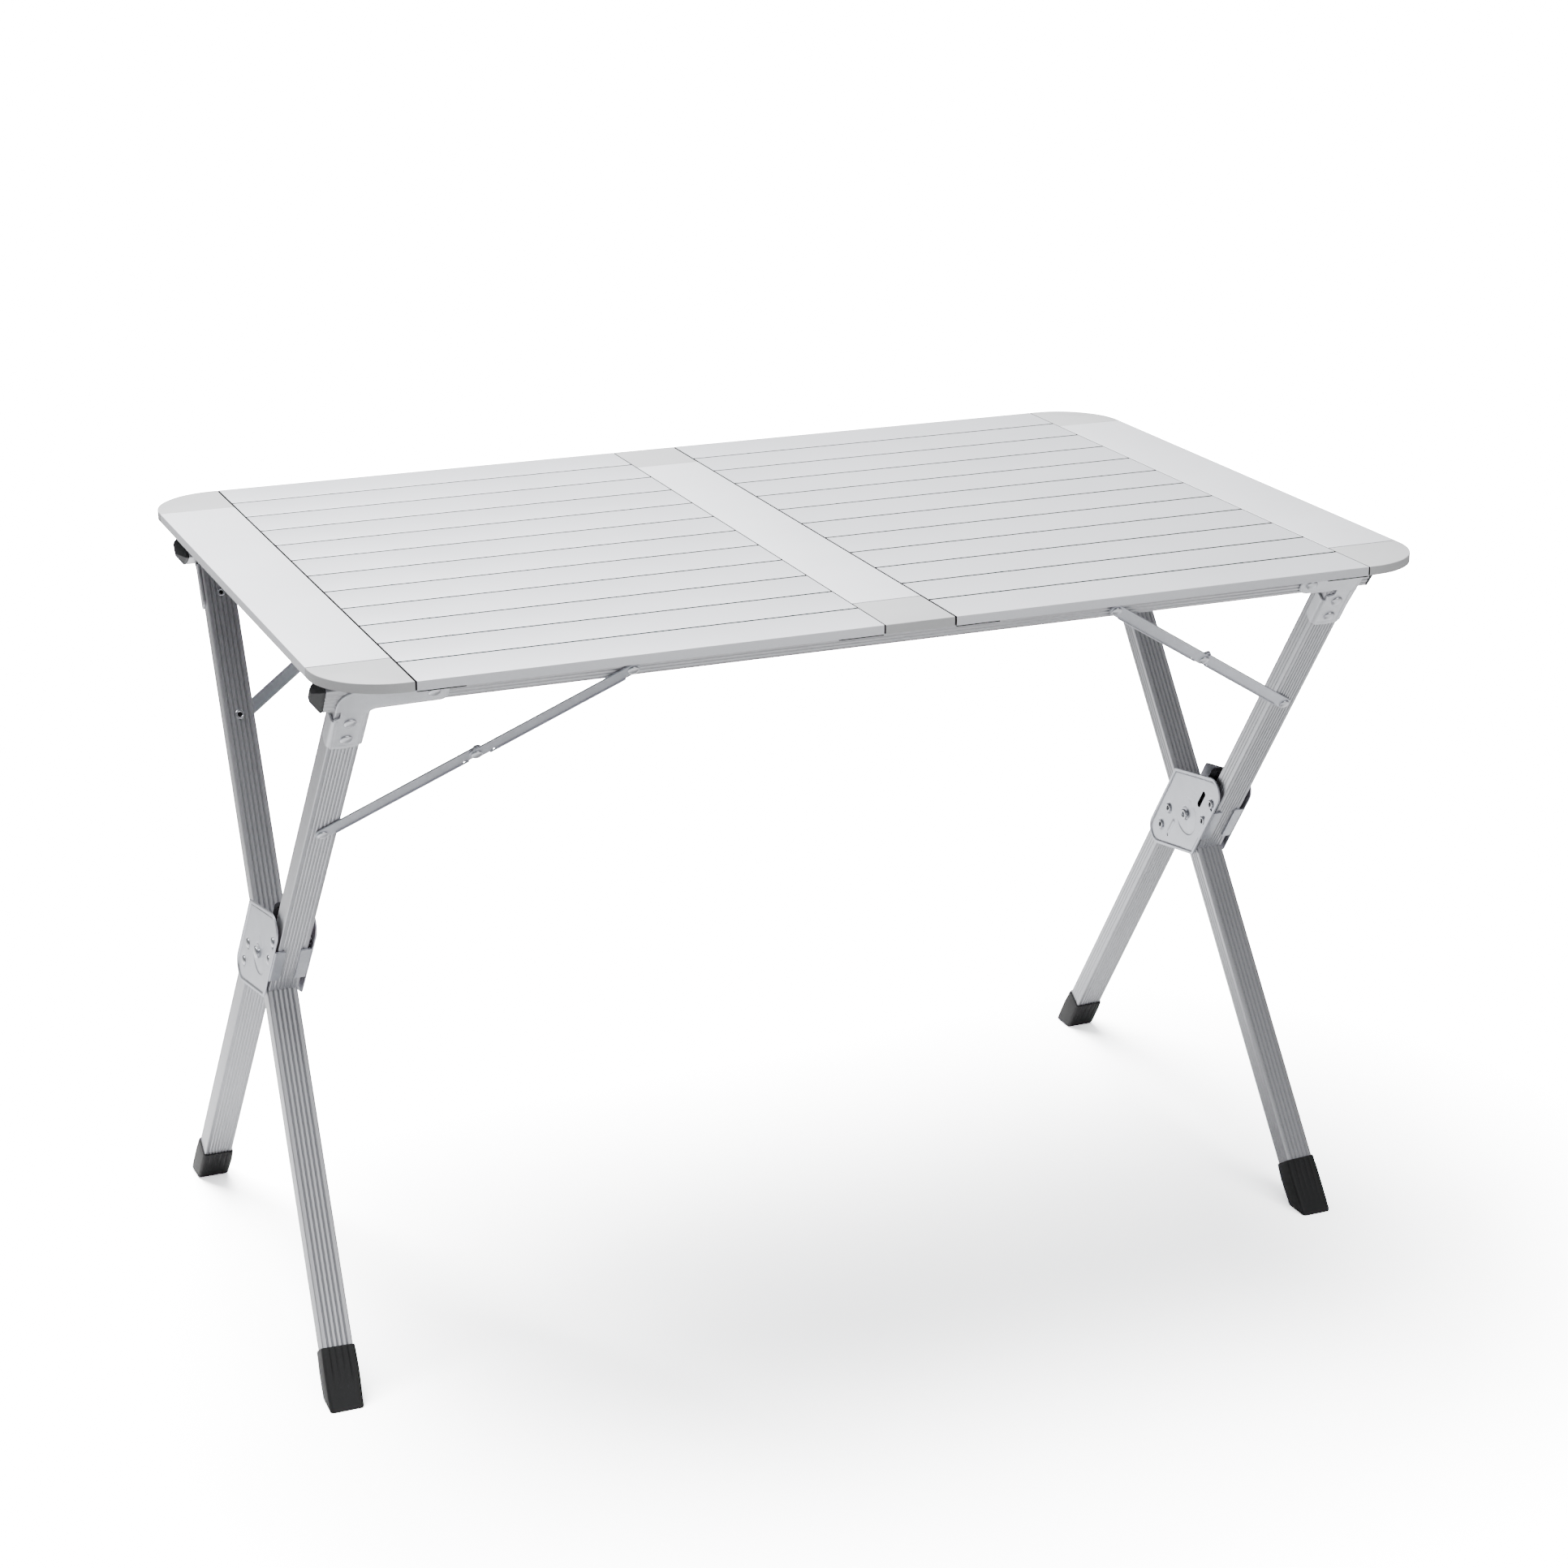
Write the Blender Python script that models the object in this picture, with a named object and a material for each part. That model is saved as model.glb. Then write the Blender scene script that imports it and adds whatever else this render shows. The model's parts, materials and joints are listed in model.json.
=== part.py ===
"""Folding side table: slatted lift-off top on two rail-and-leg frames that cross at two hinge joints."""
import math

import bmesh
import bpy
import numpy as np

for item in list(bpy.data.objects):
    bpy.data.objects.remove(item, do_unlink=True)

# Overall sizes of the top, in metres.
TOP_LENGTH = 1.10
TOP_DEPTH = 0.72
TOP_HEIGHT = 0.754
TOP_THICK = 0.014
SKIN = 0.0016
LIP = 0.0088
GAP = 0.0003
STRIP_END = 0.0762
STRIP_MID = 0.0690
CAP_DEPTH = 0.0745
SLATS = 12
SLAT_GAP = 0.0018
SLAT_INSET = 0.0008
STRAP_WIDTH = 0.040
STRAP_THICK = 0.0016
STRAP_OFFSET = 0.085

# Leg and rail extrusions.
TUBE_W = 0.030
TUBE_T = 0.021
WALL = 0.0015
RAIL_TALL = 0.029
GROOVES = 5
GROOVE_PITCH = 0.0047
GROOVE_DEPTH = 0.0006
RAIL_HALF = TOP_LENGTH / 2 - 0.019
PLUG_OUT = 0.011

# Crossing joint, as seen from the side: pivot place, leg angles and leg offsets.
PIVOT_X = TOP_LENGTH / 2 - 0.0314
PIVOT_Y = 0.012
PIVOT_Z = TOP_HEIGHT * 0.4987
TILT_A = math.radians(35.2)
TILT_B = math.radians(34.25)
SPLAY = 0.041
OFF_A_TOP = -0.026
OFF_A_LOW = 0.0355
OFF_B = 0.014
END_CLEAR = 0.0004

# Hinge plates, saddles and pins.
PLATE_IN = 0.0184
PLATE_T = 0.0018
PLATE_ROUND = 0.016
PLATE_SLOPE = 1.0
PLATE_LOW = -0.024
PLATE_HIGH = 0.024
FLANGE_LOW = 0.004
FLANGE_HIGH = 0.052
FLANGE_EDGE = 0.0075
SLOT_N = -0.0120
SLOT_HALF = 0.0024
SLOT_LOW = 0.031
SLOT_HIGH = 0.056
SADDLE_IN = 0.0156
SADDLE_T = 0.0012
PIN_R = 0.0030
PIN_HEAD_R = 0.0060
HOLE_R = 0.00325
LEVER_T = 0.0165
LEVER_LOW = 0.012
LEVER_HIGH = 0.096
LEVER_SLANT = 0.013
LEVER_HALF = 0.014

# Corner brackets, braces and feet.
BRACKET_T = 0.0020
BRACKET_DROP = 0.052
ARM_LONG_X = RAIL_HALF - 0.099
ARM_SHORT_X = RAIL_HALF - 0.067
BRACE_W = 0.0135
BRACE_T = 0.0020
BRACE_RAIL_X = TOP_LENGTH * 0.2239
BRACE_LEG_S = TOP_HEIGHT * 0.323
BOOT_W = 0.0345
BOOT_T = 0.0260
BOOT_LEN = 0.054
BOOT_FLOOR = 0.007


def material(name, color, metal, rough):
    """One Principled surface with a base colour, metalness and roughness."""
    made = bpy.data.materials.new(name)
    made.use_nodes = True
    shader = made.node_tree.nodes["Principled BSDF"]
    shader.inputs["Base Color"].default_value = (*color, 1.0)
    shader.inputs["Metallic"].default_value = metal
    shader.inputs["Roughness"].default_value = rough
    return made


SLAT_ALU = material("slat_aluminium", (0.80, 0.81, 0.82), 1.0, 0.40)
STRIP_ALU = material("strip_aluminium", (0.84, 0.85, 0.86), 1.0, 0.42)
TUBE_ALU = material("tube_aluminium", (0.62, 0.63, 0.65), 1.0, 0.38)
STEEL = material("pressed_steel", (0.56, 0.58, 0.62), 1.0, 0.34)
RIVET = material("rivet_steel", (0.66, 0.67, 0.68), 1.0, 0.25)
CAP_GREY = material("cap_plastic", (0.66, 0.67, 0.67), 0.0, 0.50)
PLUG_GREY = material("plug_plastic", (0.10, 0.11, 0.11), 0.0, 0.45)
BOOT_BLACK = material("boot_rubber", (0.025, 0.025, 0.027), 0.0, 0.60)
LEVER_BLACK = material("lever_plastic", (0.05, 0.05, 0.055), 0.0, 0.40)


def unit(v):
    """The vector v scaled to length one."""
    v = np.asarray(v, float)
    return v / np.linalg.norm(v)


class Place:
    """A local frame: an origin and three axes, width (along X), normal and direction."""

    def __init__(self, origin, w, n, d):
        self.o = np.asarray(origin, float)
        self.w = unit(w)
        self.n = unit(n)
        self.d = unit(d)

    def at(self, a, b, s):
        """The world point at width a, normal b and distance s along the direction."""
        return self.o + self.w * a + self.n * b + self.d * s


def leg_place(side, frame):
    """The leg frame at the crossing pivot, tilted in its portal and splayed outwards to the floor."""
    tilt = TILT_A if frame == "A" else TILT_B
    lean = -1.0 if frame == "A" else 1.0
    n = np.array([0.0, math.cos(tilt), -lean * math.sin(tilt)])
    d = np.array([-side * SPLAY * math.cos(tilt), lean * math.sin(tilt), math.cos(tilt)])
    d = unit(d)
    return Place([side * PIVOT_X, PIVOT_Y, PIVOT_Z], np.cross(n, d), n, d)


def portal_place(frame):
    """The same frame at the middle of the table, with width along X and no splay."""
    tilt = TILT_A if frame == "A" else TILT_B
    lean = -1.0 if frame == "A" else 1.0
    n = np.array([0.0, math.cos(tilt), -lean * math.sin(tilt)])
    d = np.array([0.0, lean * math.sin(tilt), math.cos(tilt)])
    return Place([0.0, PIVOT_Y, PIVOT_Z], [1.0, 0.0, 0.0], n, d)


def rail_reach(frame):
    """Distance along the portal from the pivot height to the rail's centre line."""
    tilt = TILT_A if frame == "A" else TILT_B
    lean = -1.0 if frame == "A" else 1.0
    off = OFF_A_TOP if frame == "A" else OFF_B
    corner = RAIL_TALL / 2 * math.cos(tilt) + TUBE_T / 2 * math.sin(tilt)
    rise = TOP_HEIGHT - TOP_THICK - GAP - corner - PIVOT_Z
    return (rise + lean * off * math.sin(tilt)) / math.cos(tilt)


def finish(name, bm, surface, smooth=None):
    """Turns a bmesh into an object with outward normals and a material."""
    bmesh.ops.recalc_face_normals(bm, faces=bm.faces)
    mesh = bpy.data.meshes.new(name)
    bm.to_mesh(mesh)
    bm.free()
    mesh.materials.append(surface)
    made = bpy.data.objects.new(name, mesh)
    bpy.context.scene.collection.objects.link(made)
    if smooth is not None:
        mesh.shade_smooth()
        mesh.set_sharp_from_angle(angle=math.radians(smooth))
    return made


def loft(name, rings, surface, closed=False, smooth=None):
    """Joins rings of equal point count into a skin; it is capped, or closed on itself."""
    bm = bmesh.new()
    rows = [[bm.verts.new(tuple(p)) for p in ring] for ring in rings]
    count = len(rows[0])
    pairs = list(zip(rows[:-1], rows[1:]))
    if closed:
        pairs.append((rows[-1], rows[0]))
    for low, high in pairs:
        for i in range(count):
            j = (i + 1) % count
            bm.faces.new((low[i], low[j], high[j], high[i]))
    if not closed:
        bm.faces.new(list(reversed(rows[0])))
        bm.faces.new(rows[-1])
    return finish(name, bm, surface, smooth)


def slab(name, outline, place, low, high, surface, axes="ws"):
    """A flat outline pushed from low to high along the frame's third axis."""
    rings = []
    for level in (low, high):
        if axes == "ws":
            rings.append([place.at(a, level, s) for a, s in outline])
        elif axes == "ns":
            rings.append([place.at(level, a, s) for a, s in outline])
        else:
            rings.append([place.at(a, s, level) for a, s in outline])
    return loft(name, rings, surface)


def box(name, low, high, surface, place=None):
    """A box between two corners, in the world or in a local frame."""
    spot = place or Place([0, 0, 0], [1, 0, 0], [0, 1, 0], [0, 0, 1])
    outline = [(low[0], low[1]), (high[0], low[1]), (high[0], high[1]), (low[0], high[1])]
    return slab(name, outline, spot, low[2], high[2], surface, axes="wn")


def rounded(corners, radii, steps=5):
    """A polygon whose corners are replaced by arcs that touch both neighbouring sides."""
    out = []
    count = len(corners)
    for i in range(count):
        here = np.array(corners[i], float)
        back = unit(np.array(corners[i - 1], float) - here)
        ahead = unit(np.array(corners[(i + 1) % count], float) - here)
        r = radii[i]
        if r <= 0:
            out.append(tuple(here))
            continue
        half = math.acos(max(-1.0, min(1.0, float(back @ ahead)))) / 2
        reach = r / math.tan(half)
        centre = here + unit(back + ahead) * (r / math.sin(half))
        start = here + back * reach - centre
        end = here + ahead * reach - centre
        a0 = math.atan2(start[1], start[0])
        a1 = math.atan2(end[1], end[0])
        turn = (a1 - a0 + math.pi) % (2 * math.pi) - math.pi
        for k in range(steps + 1):
            a = a0 + turn * k / steps
            out.append((centre[0] + r * math.cos(a), centre[1] + r * math.sin(a)))
    return out


def ribbed(width, thick):
    """A rectangular section with shallow grooves along its two wide faces."""
    half_w = width / 2
    half_t = thick / 2
    points = [(-half_w, -half_t)]
    centres = [(k - (GROOVES - 1) / 2) * GROOVE_PITCH for k in range(GROOVES)]
    for c in centres:
        points += [(c - GROOVE_DEPTH, -half_t), (c, -half_t + GROOVE_DEPTH)]
        points += [(c + GROOVE_DEPTH, -half_t)]
    points.append((half_w, -half_t))
    points.append((half_w, half_t))
    for c in reversed(centres):
        points += [(c + GROOVE_DEPTH, half_t), (c, half_t - GROOVE_DEPTH)]
        points += [(c - GROOVE_DEPTH, half_t)]
    points.append((-half_w, half_t))
    return points


def tube(name, section, place, off, low, high, surface):
    """A hollow extrusion along the frame's direction, each end square or cut on a plane."""
    w_all = max(a for a, _ in section)
    t_all = max(b for _, b in section)
    shrink_w = (w_all - WALL) / w_all
    shrink_t = (t_all - WALL) / t_all

    def reach(a, b, end):
        if not isinstance(end, tuple):
            return end
        spot = place.at(a, b + off, 0.0)
        return float((end[0] - spot) @ end[1]) / float(place.d @ end[1])

    outer = [(a, b) for a, b in section]
    inner = [(a * shrink_w, b * shrink_t) for a, b in section]
    rings = []
    for ring, end in ((outer, low), (outer, high), (inner, high), (inner, low)):
        rings.append([place.at(a, b + off, reach(a, b, end)) for a, b in ring])
    return loft(name, rings, surface, closed=True)


def lathe(name, profile, origin, axis, side, surface, sides=24):
    """A round body: radius and distance pairs turned about an axis."""
    axis = unit(axis)
    u = unit(np.asarray(side, float) - axis * float(np.asarray(side, float) @ axis))
    v = np.cross(axis, u)
    rings = []
    for r, s in profile:
        ring = []
        for k in range(sides):
            a = 2 * math.pi * k / sides
            ring.append(np.asarray(origin) + axis * s + (u * math.cos(a) + v * math.sin(a)) * r)
        rings.append(ring)
    return loft(name, rings, surface, smooth=35)


def cutter(made):
    """Marks an object as a helper that only cuts or joins."""
    made.hide_render = True
    made.display_type = "WIRE"
    return made


def combine(target, other, operation):
    """Cuts another solid from the target, or joins it on, by an exact Boolean."""
    cutter(other)
    step = target.modifiers.new(operation.lower() + "_" + other.name, "BOOLEAN")
    step.operation = operation
    step.solver = "EXACT"
    step.object = other
    return target


def soften(made, width, segments=2, angle=40):
    """Rounds the sharp edges of a solid by a small width."""
    step = made.modifiers.new("edges", "BEVEL")
    step.width = width
    step.segments = segments
    step.limit_method = "ANGLE"
    step.angle_limit = math.radians(angle)
    return made


# Top: slats, strips and caps. All of it lies between its underside and the top plane.
TOP_Z = TOP_HEIGHT
LOW_Z = TOP_HEIGHT - TOP_THICK
LIP_Z = TOP_HEIGHT - LIP
HALF_L = TOP_LENGTH / 2
HALF_D = TOP_DEPTH / 2
PITCH = TOP_DEPTH / SLATS
INNER_X = STRIP_MID / 2 + SLAT_INSET
OUTER_X = HALF_L - STRIP_END - SLAT_INSET


def channel_ring(y0, y1, left_z, right_z):
    """Section of a downward-open channel across Y, with its two lip depths."""
    return [
        (y0, left_z), (y0, TOP_Z), (y1, TOP_Z), (y1, right_z),
        (y1 - SKIN, right_z), (y1 - SKIN, TOP_Z - SKIN),
        (y0 + SKIN, TOP_Z - SKIN), (y0 + SKIN, left_z),
    ]


def channel_x(name, x0, x1, y0, y1, left_z, right_z, surface):
    """A channel running along X."""
    section = channel_ring(y0, y1, left_z, right_z)
    rings = [[(x, y, z) for y, z in section] for x in (x0, x1)]
    return loft(name, rings, surface)


def channel_y(name, x0, x1, y0, y1, left_z, right_z, surface):
    """A channel running along Y."""
    section = channel_ring(x0, x1, left_z, right_z)
    rings = [[(x, y, z) for x, z in section] for y in (y0, y1)]
    return loft(name, rings, surface)


def joined(name, pieces, surface):
    """Puts the meshes of several pieces in one object and removes the pieces."""
    bm = bmesh.new()
    for piece in pieces:
        bm.from_mesh(piece.data)
        bpy.data.objects.remove(piece, do_unlink=True)
    return finish(name, bm, surface)


STRIP_Y = HALF_D - CAP_DEPTH - GAP
channel_y("end_strip_left", -HALF_L, -HALF_L + STRIP_END, -STRIP_Y, STRIP_Y, LIP_Z, LOW_Z, STRIP_ALU)
channel_y("end_strip_right", HALF_L - STRIP_END, HALF_L, -STRIP_Y, STRIP_Y, LOW_Z, LIP_Z, STRIP_ALU)
channel_y("centre_strip", -STRIP_MID / 2, STRIP_MID / 2, -STRIP_Y, STRIP_Y, LOW_Z, LOW_Z, STRIP_ALU)

for side, side_name in ((-1, "left"), (1, "right")):
    x0 = min(side * INNER_X, side * OUTER_X)
    x1 = max(side * INNER_X, side * OUTER_X)
    for face, face_name in ((-1, "front"), (1, "back")):
        ys = sorted((face * HALF_D, face * (HALF_D - PITCH + SLAT_GAP / 2)))
        lips = (LIP_Z, LOW_Z) if face < 0 else (LOW_Z, LIP_Z)
        channel_x(f"edge_slat_{face_name}_{side_name}", x0, x1, ys[0], ys[1], *lips, SLAT_ALU)
    bars = []
    for k in range(1, SLATS - 1):
        y0 = -HALF_D + k * PITCH + SLAT_GAP / 2
        y1 = y0 + PITCH - SLAT_GAP
        bars.append(channel_x(f"bar_{k}", x0, x1, y0, y1, LOW_Z, LOW_Z, SLAT_ALU))
    mat = joined(f"slat_mat_{side_name}", bars, SLAT_ALU)
    straps = []
    for cx in (x0 + STRAP_OFFSET, x1 - STRAP_OFFSET):
        low = (cx - STRAP_WIDTH / 2, -HALF_D + PITCH + SLAT_GAP, TOP_Z - SKIN - 0.0004 - STRAP_THICK)
        high = (cx + STRAP_WIDTH / 2, HALF_D - PITCH - SLAT_GAP, TOP_Z - SKIN + 0.0006)
        straps.append(box("strap", low, high, SLAT_ALU))
    combine(mat, joined(f"straps_{side_name}", straps, SLAT_ALU), "UNION")
    for face, face_name in ((-1, "front"), (1, "back")):
        outline = []
        for k in range(13):
            a = math.pi / 2 * k / 12
            ex = HALF_L - STRIP_END * 0.92 * (1 - math.sin(a))
            ey = HALF_D - CAP_DEPTH * 0.92 * (1 - math.cos(a))
            outline.append((side * ex, face * ey))
        outline.append((side * HALF_L, face * (HALF_D - CAP_DEPTH)))
        outline.append((side * (HALF_L - STRIP_END), face * (HALF_D - CAP_DEPTH)))
        outline.append((side * (HALF_L - STRIP_END), face * HALF_D))
        world = Place([0, 0, 0], [1, 0, 0], [0, 1, 0], [0, 0, 1])
        cap = slab(f"corner_cap_{face_name}_{side_name}", outline, world, LIP_Z, TOP_Z, CAP_GREY, "wn")
        soften(cap, 0.0012)

for face, face_name in ((-1, "front"), (1, "back")):
    ys = sorted((face * HALF_D, face * (HALF_D - CAP_DEPTH)))
    made = box(
        f"centre_cap_{face_name}",
        (-STRIP_MID / 2, ys[0], LIP_Z),
        (STRIP_MID / 2, ys[1], TOP_Z),
        CAP_GREY,
    )
    soften(made, 0.0012)

# Rails, with a plug in each end.
for frame, face_name in (("A", "front"), ("B", "back")):
    portal = portal_place(frame)
    off = OFF_A_TOP if frame == "A" else OFF_B
    reach = rail_reach(frame)
    rail = Place(portal.at(0, off, reach), portal.d, portal.n, -portal.w)
    tube(f"rail_{face_name}", ribbed(RAIL_TALL, TUBE_T), rail, 0.0, -RAIL_HALF, RAIL_HALF, TUBE_ALU)
    for side, side_name in ((-1, "left"), (1, "right")):
        rings = []
        start = RAIL_HALF + GAP
        spigot_s = RAIL_TALL / 2 - WALL - 0.0012
        spigot_n = TUBE_T / 2 - WALL - 0.0012
        steps = (
            (-0.014, spigot_s, spigot_n),
            (0.0, spigot_s, spigot_n),
            (0.0, RAIL_TALL / 2, TUBE_T / 2),
            (0.0030, RAIL_TALL / 2, TUBE_T / 2),
            (PLUG_OUT, RAIL_TALL / 2 - 0.0075, TUBE_T / 2 - 0.0070),
        )
        for x, half_s, half_n in steps:
            ring = []
            for a, b in ((-1, -1), (1, -1), (1, 1), (-1, 1)):
                ring.append(portal.at(side * (start + x), off + b * half_n, reach + a * half_s))
            rings.append(ring)
        loft(f"plug_{face_name}_{side_name}", rings, PLUG_GREY)

# Legs.
for side, side_name in ((-1, "left"), (1, "right")):
    leg_a = leg_place(side, "A")
    leg_b = leg_place(side, "B")
    section = ribbed(TUBE_W, TUBE_T)
    top_a = rail_reach("A") - RAIL_TALL / 2 - 0.0015
    top_b = rail_reach("B") - RAIL_TALL / 2 - 0.0015
    face_front = (leg_b.at(0, OFF_B - TUBE_T / 2 - END_CLEAR, 0), leg_b.n)
    face_back = (leg_b.at(0, OFF_B + TUBE_T / 2 + END_CLEAR, 0), leg_b.n)
    floor = (np.array([0.0, 0.0, BOOT_FLOOR + GAP]), np.array([0.0, 0.0, 1.0]))
    tube(f"leg_front_upper_{side_name}", section, leg_a, OFF_A_TOP, face_front, top_a, TUBE_ALU)
    tube(f"leg_front_lower_{side_name}", section, leg_a, OFF_A_LOW, floor, face_back, TUBE_ALU)
    tube(f"leg_back_{side_name}", section, leg_b, OFF_B, floor, top_b, TUBE_ALU)

    # Boots: a faceted block with a flat sole and a pocket that the tube stands in.
    for leg, off, boot_name in ((leg_b, OFF_B, "front"), (leg_a, OFF_A_LOW, "back")):
        sole = (np.zeros(3), np.array([0.0, 0.0, 1.0]))
        foot_s = -(leg.at(0, off, 0)[2]) / leg.d[2]
        rings = []
        for end, grow in ((sole, 1.0), (foot_s + BOOT_LEN * 0.60, 1.0), (foot_s + BOOT_LEN, 0.93)):
            ring = []
            half_w = BOOT_W / 2 * grow
            half_t = BOOT_T / 2 * grow
            for a, b in rounded(
                [(-half_w, -half_t), (half_w, -half_t), (half_w, half_t), (-half_w, half_t)],
                [0.003] * 4,
                steps=3,
            ):
                s = end
                if isinstance(end, tuple):
                    spot = leg.at(a, b + off, 0.0)
                    s = -spot[2] / leg.d[2]
                ring.append(leg.at(a, b + off, s))
            rings.append(ring)
        boot = loft(f"boot_{boot_name}_{side_name}", rings, BOOT_BLACK)
        pocket = []
        for end in (BOOT_FLOOR, None):
            ring = []
            half_w = TUBE_W / 2 + GAP
            half_t = TUBE_T / 2 + GAP
            for a, b in ((-half_w, -half_t), (half_w, -half_t), (half_w, half_t), (-half_w, half_t)):
                spot = leg.at(a, b + off, 0.0)
                s = foot_s + BOOT_LEN + 0.02 if end is None else (end - spot[2]) / leg.d[2]
                ring.append(leg.at(a, b + off, s))
            pocket.append(ring)
        combine(boot, loft(f"pocket_{boot_name}_{side_name}", pocket, BOOT_BLACK), "DIFFERENCE")

    # Hinge plates on both sides of the joint, fixed to the front frame's two leg tubes.
    n_front = OFF_A_TOP - TUBE_T / 2 - GAP - PLATE_T
    n_back = OFF_A_LOW + TUBE_T / 2 + 0.0008
    n_span = n_back - n_front
    outline = rounded(
        [
            (n_front, PLATE_LOW),
            (n_back, PLATE_LOW - PLATE_SLOPE * n_span),
            (n_back, PLATE_HIGH),
            (n_front, PLATE_HIGH + PLATE_SLOPE * n_span),
        ],
        [0.003, PLATE_ROUND, 0.005, PLATE_ROUND],
        steps=7,
    )
    for turn, turn_name in ((side, "outer"), (-side, "inner")):
        low, high = sorted((turn * PLATE_IN, turn * (PLATE_IN + PLATE_T)))
        plate = slab(f"plate_{turn_name}_{side_name}", outline, leg_a, low, high, STEEL, "ns")
        lo_w, hi_w = sorted((turn * (PLATE_IN + PLATE_T * 0.9), turn * FLANGE_EDGE))
        flange = box(
            f"flange_{turn_name}_{side_name}",
            (lo_w, n_front, FLANGE_LOW),
            (hi_w, n_front + PLATE_T, FLANGE_HIGH),
            STEEL,
            leg_a,
        )
        combine(plate, flange, "UNION")
        w_mid = turn * (PLATE_IN + PLATE_T / 2)
        bore = lathe(
            f"bore_{turn_name}_{side_name}",
            [(HOLE_R, -0.006), (HOLE_R, 0.006)],
            np.array([side * PIVOT_X + w_mid, PIVOT_Y, PIVOT_Z]),
            [1, 0, 0],
            [0, 0, 1],
            STEEL,
        )
        combine(plate, bore, "DIFFERENCE")
        if turn_name == "inner":
            slot = rounded(
                [
                    (SLOT_N - SLOT_HALF, SLOT_LOW), (SLOT_N + SLOT_HALF, SLOT_LOW),
                    (SLOT_N + SLOT_HALF, SLOT_HIGH), (SLOT_N - SLOT_HALF, SLOT_HIGH),
                ],
                [SLOT_HALF - 0.0001] * 4,
                steps=4,
            )
            low, high = sorted((turn * (PLATE_IN - 0.004), turn * (PLATE_IN + 0.006)))
            combine(plate, slab(f"slot_{side_name}", slot, leg_a, low, high, STEEL, "ns"), "DIFFERENCE")

        # Saddle: the thin cheek that carries the back frame's leg on the pivot.
        low, high = sorted((turn * SADDLE_IN, turn * (SADDLE_IN + SADDLE_T)))
        cheek = rounded(
            [(-0.0060, -0.0075), (0.0235, -0.0160), (0.0235, 0.0160), (-0.0060, 0.0075)],
            [0.005, 0.004, 0.004, 0.005],
        )
        saddle = slab(f"saddle_{turn_name}_{side_name}", cheek, leg_b, low, high, STEEL, "ns")
        w_mid = turn * (SADDLE_IN + SADDLE_T / 2)
        bore = lathe(
            f"eye_{turn_name}_{side_name}",
            [(HOLE_R, -0.006), (HOLE_R, 0.006)],
            np.array([side * PIVOT_X + w_mid, PIVOT_Y, PIVOT_Z]),
            [1, 0, 0],
            [0, 0, 1],
            STEEL,
        )
        combine(saddle, bore, "DIFFERENCE")

    # Pivot pin along X, with a low head outside each plate.
    reach = PLATE_IN + PLATE_T + 0.0007
    lathe(
        f"pivot_{side_name}",
        [
            (0.0030, -reach - 0.0022), (0.0052, -reach - 0.0018), (PIN_HEAD_R, -reach - 0.0009),
            (PIN_HEAD_R, -reach), (PIN_R, -reach), (PIN_R, reach), (PIN_HEAD_R, reach),
            (PIN_HEAD_R, reach + 0.0009), (0.0052, reach + 0.0018), (0.0030, reach + 0.0022),
        ],
        np.array([side * PIVOT_X, PIVOT_Y, PIVOT_Z]),
        [1, 0, 0],
        [0, 0, 1],
        RIVET,
    )

    # Sprung lock lever between the plates, behind the upper front leg.
    n_lever = OFF_A_TOP + TUBE_T / 2 + 0.0008
    profile = rounded(
        [
            (n_lever, LEVER_LOW), (n_lever + LEVER_T, LEVER_LOW),
            (n_lever + LEVER_T, LEVER_HIGH - LEVER_SLANT), (n_lever, LEVER_HIGH),
        ],
        [0.0015, 0.0015, 0.0050, 0.0030],
        steps=4,
    )
    slab(f"lock_lever_{side_name}", profile, leg_a, -LEVER_HALF, LEVER_HALF, LEVER_BLACK, "ns")

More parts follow.
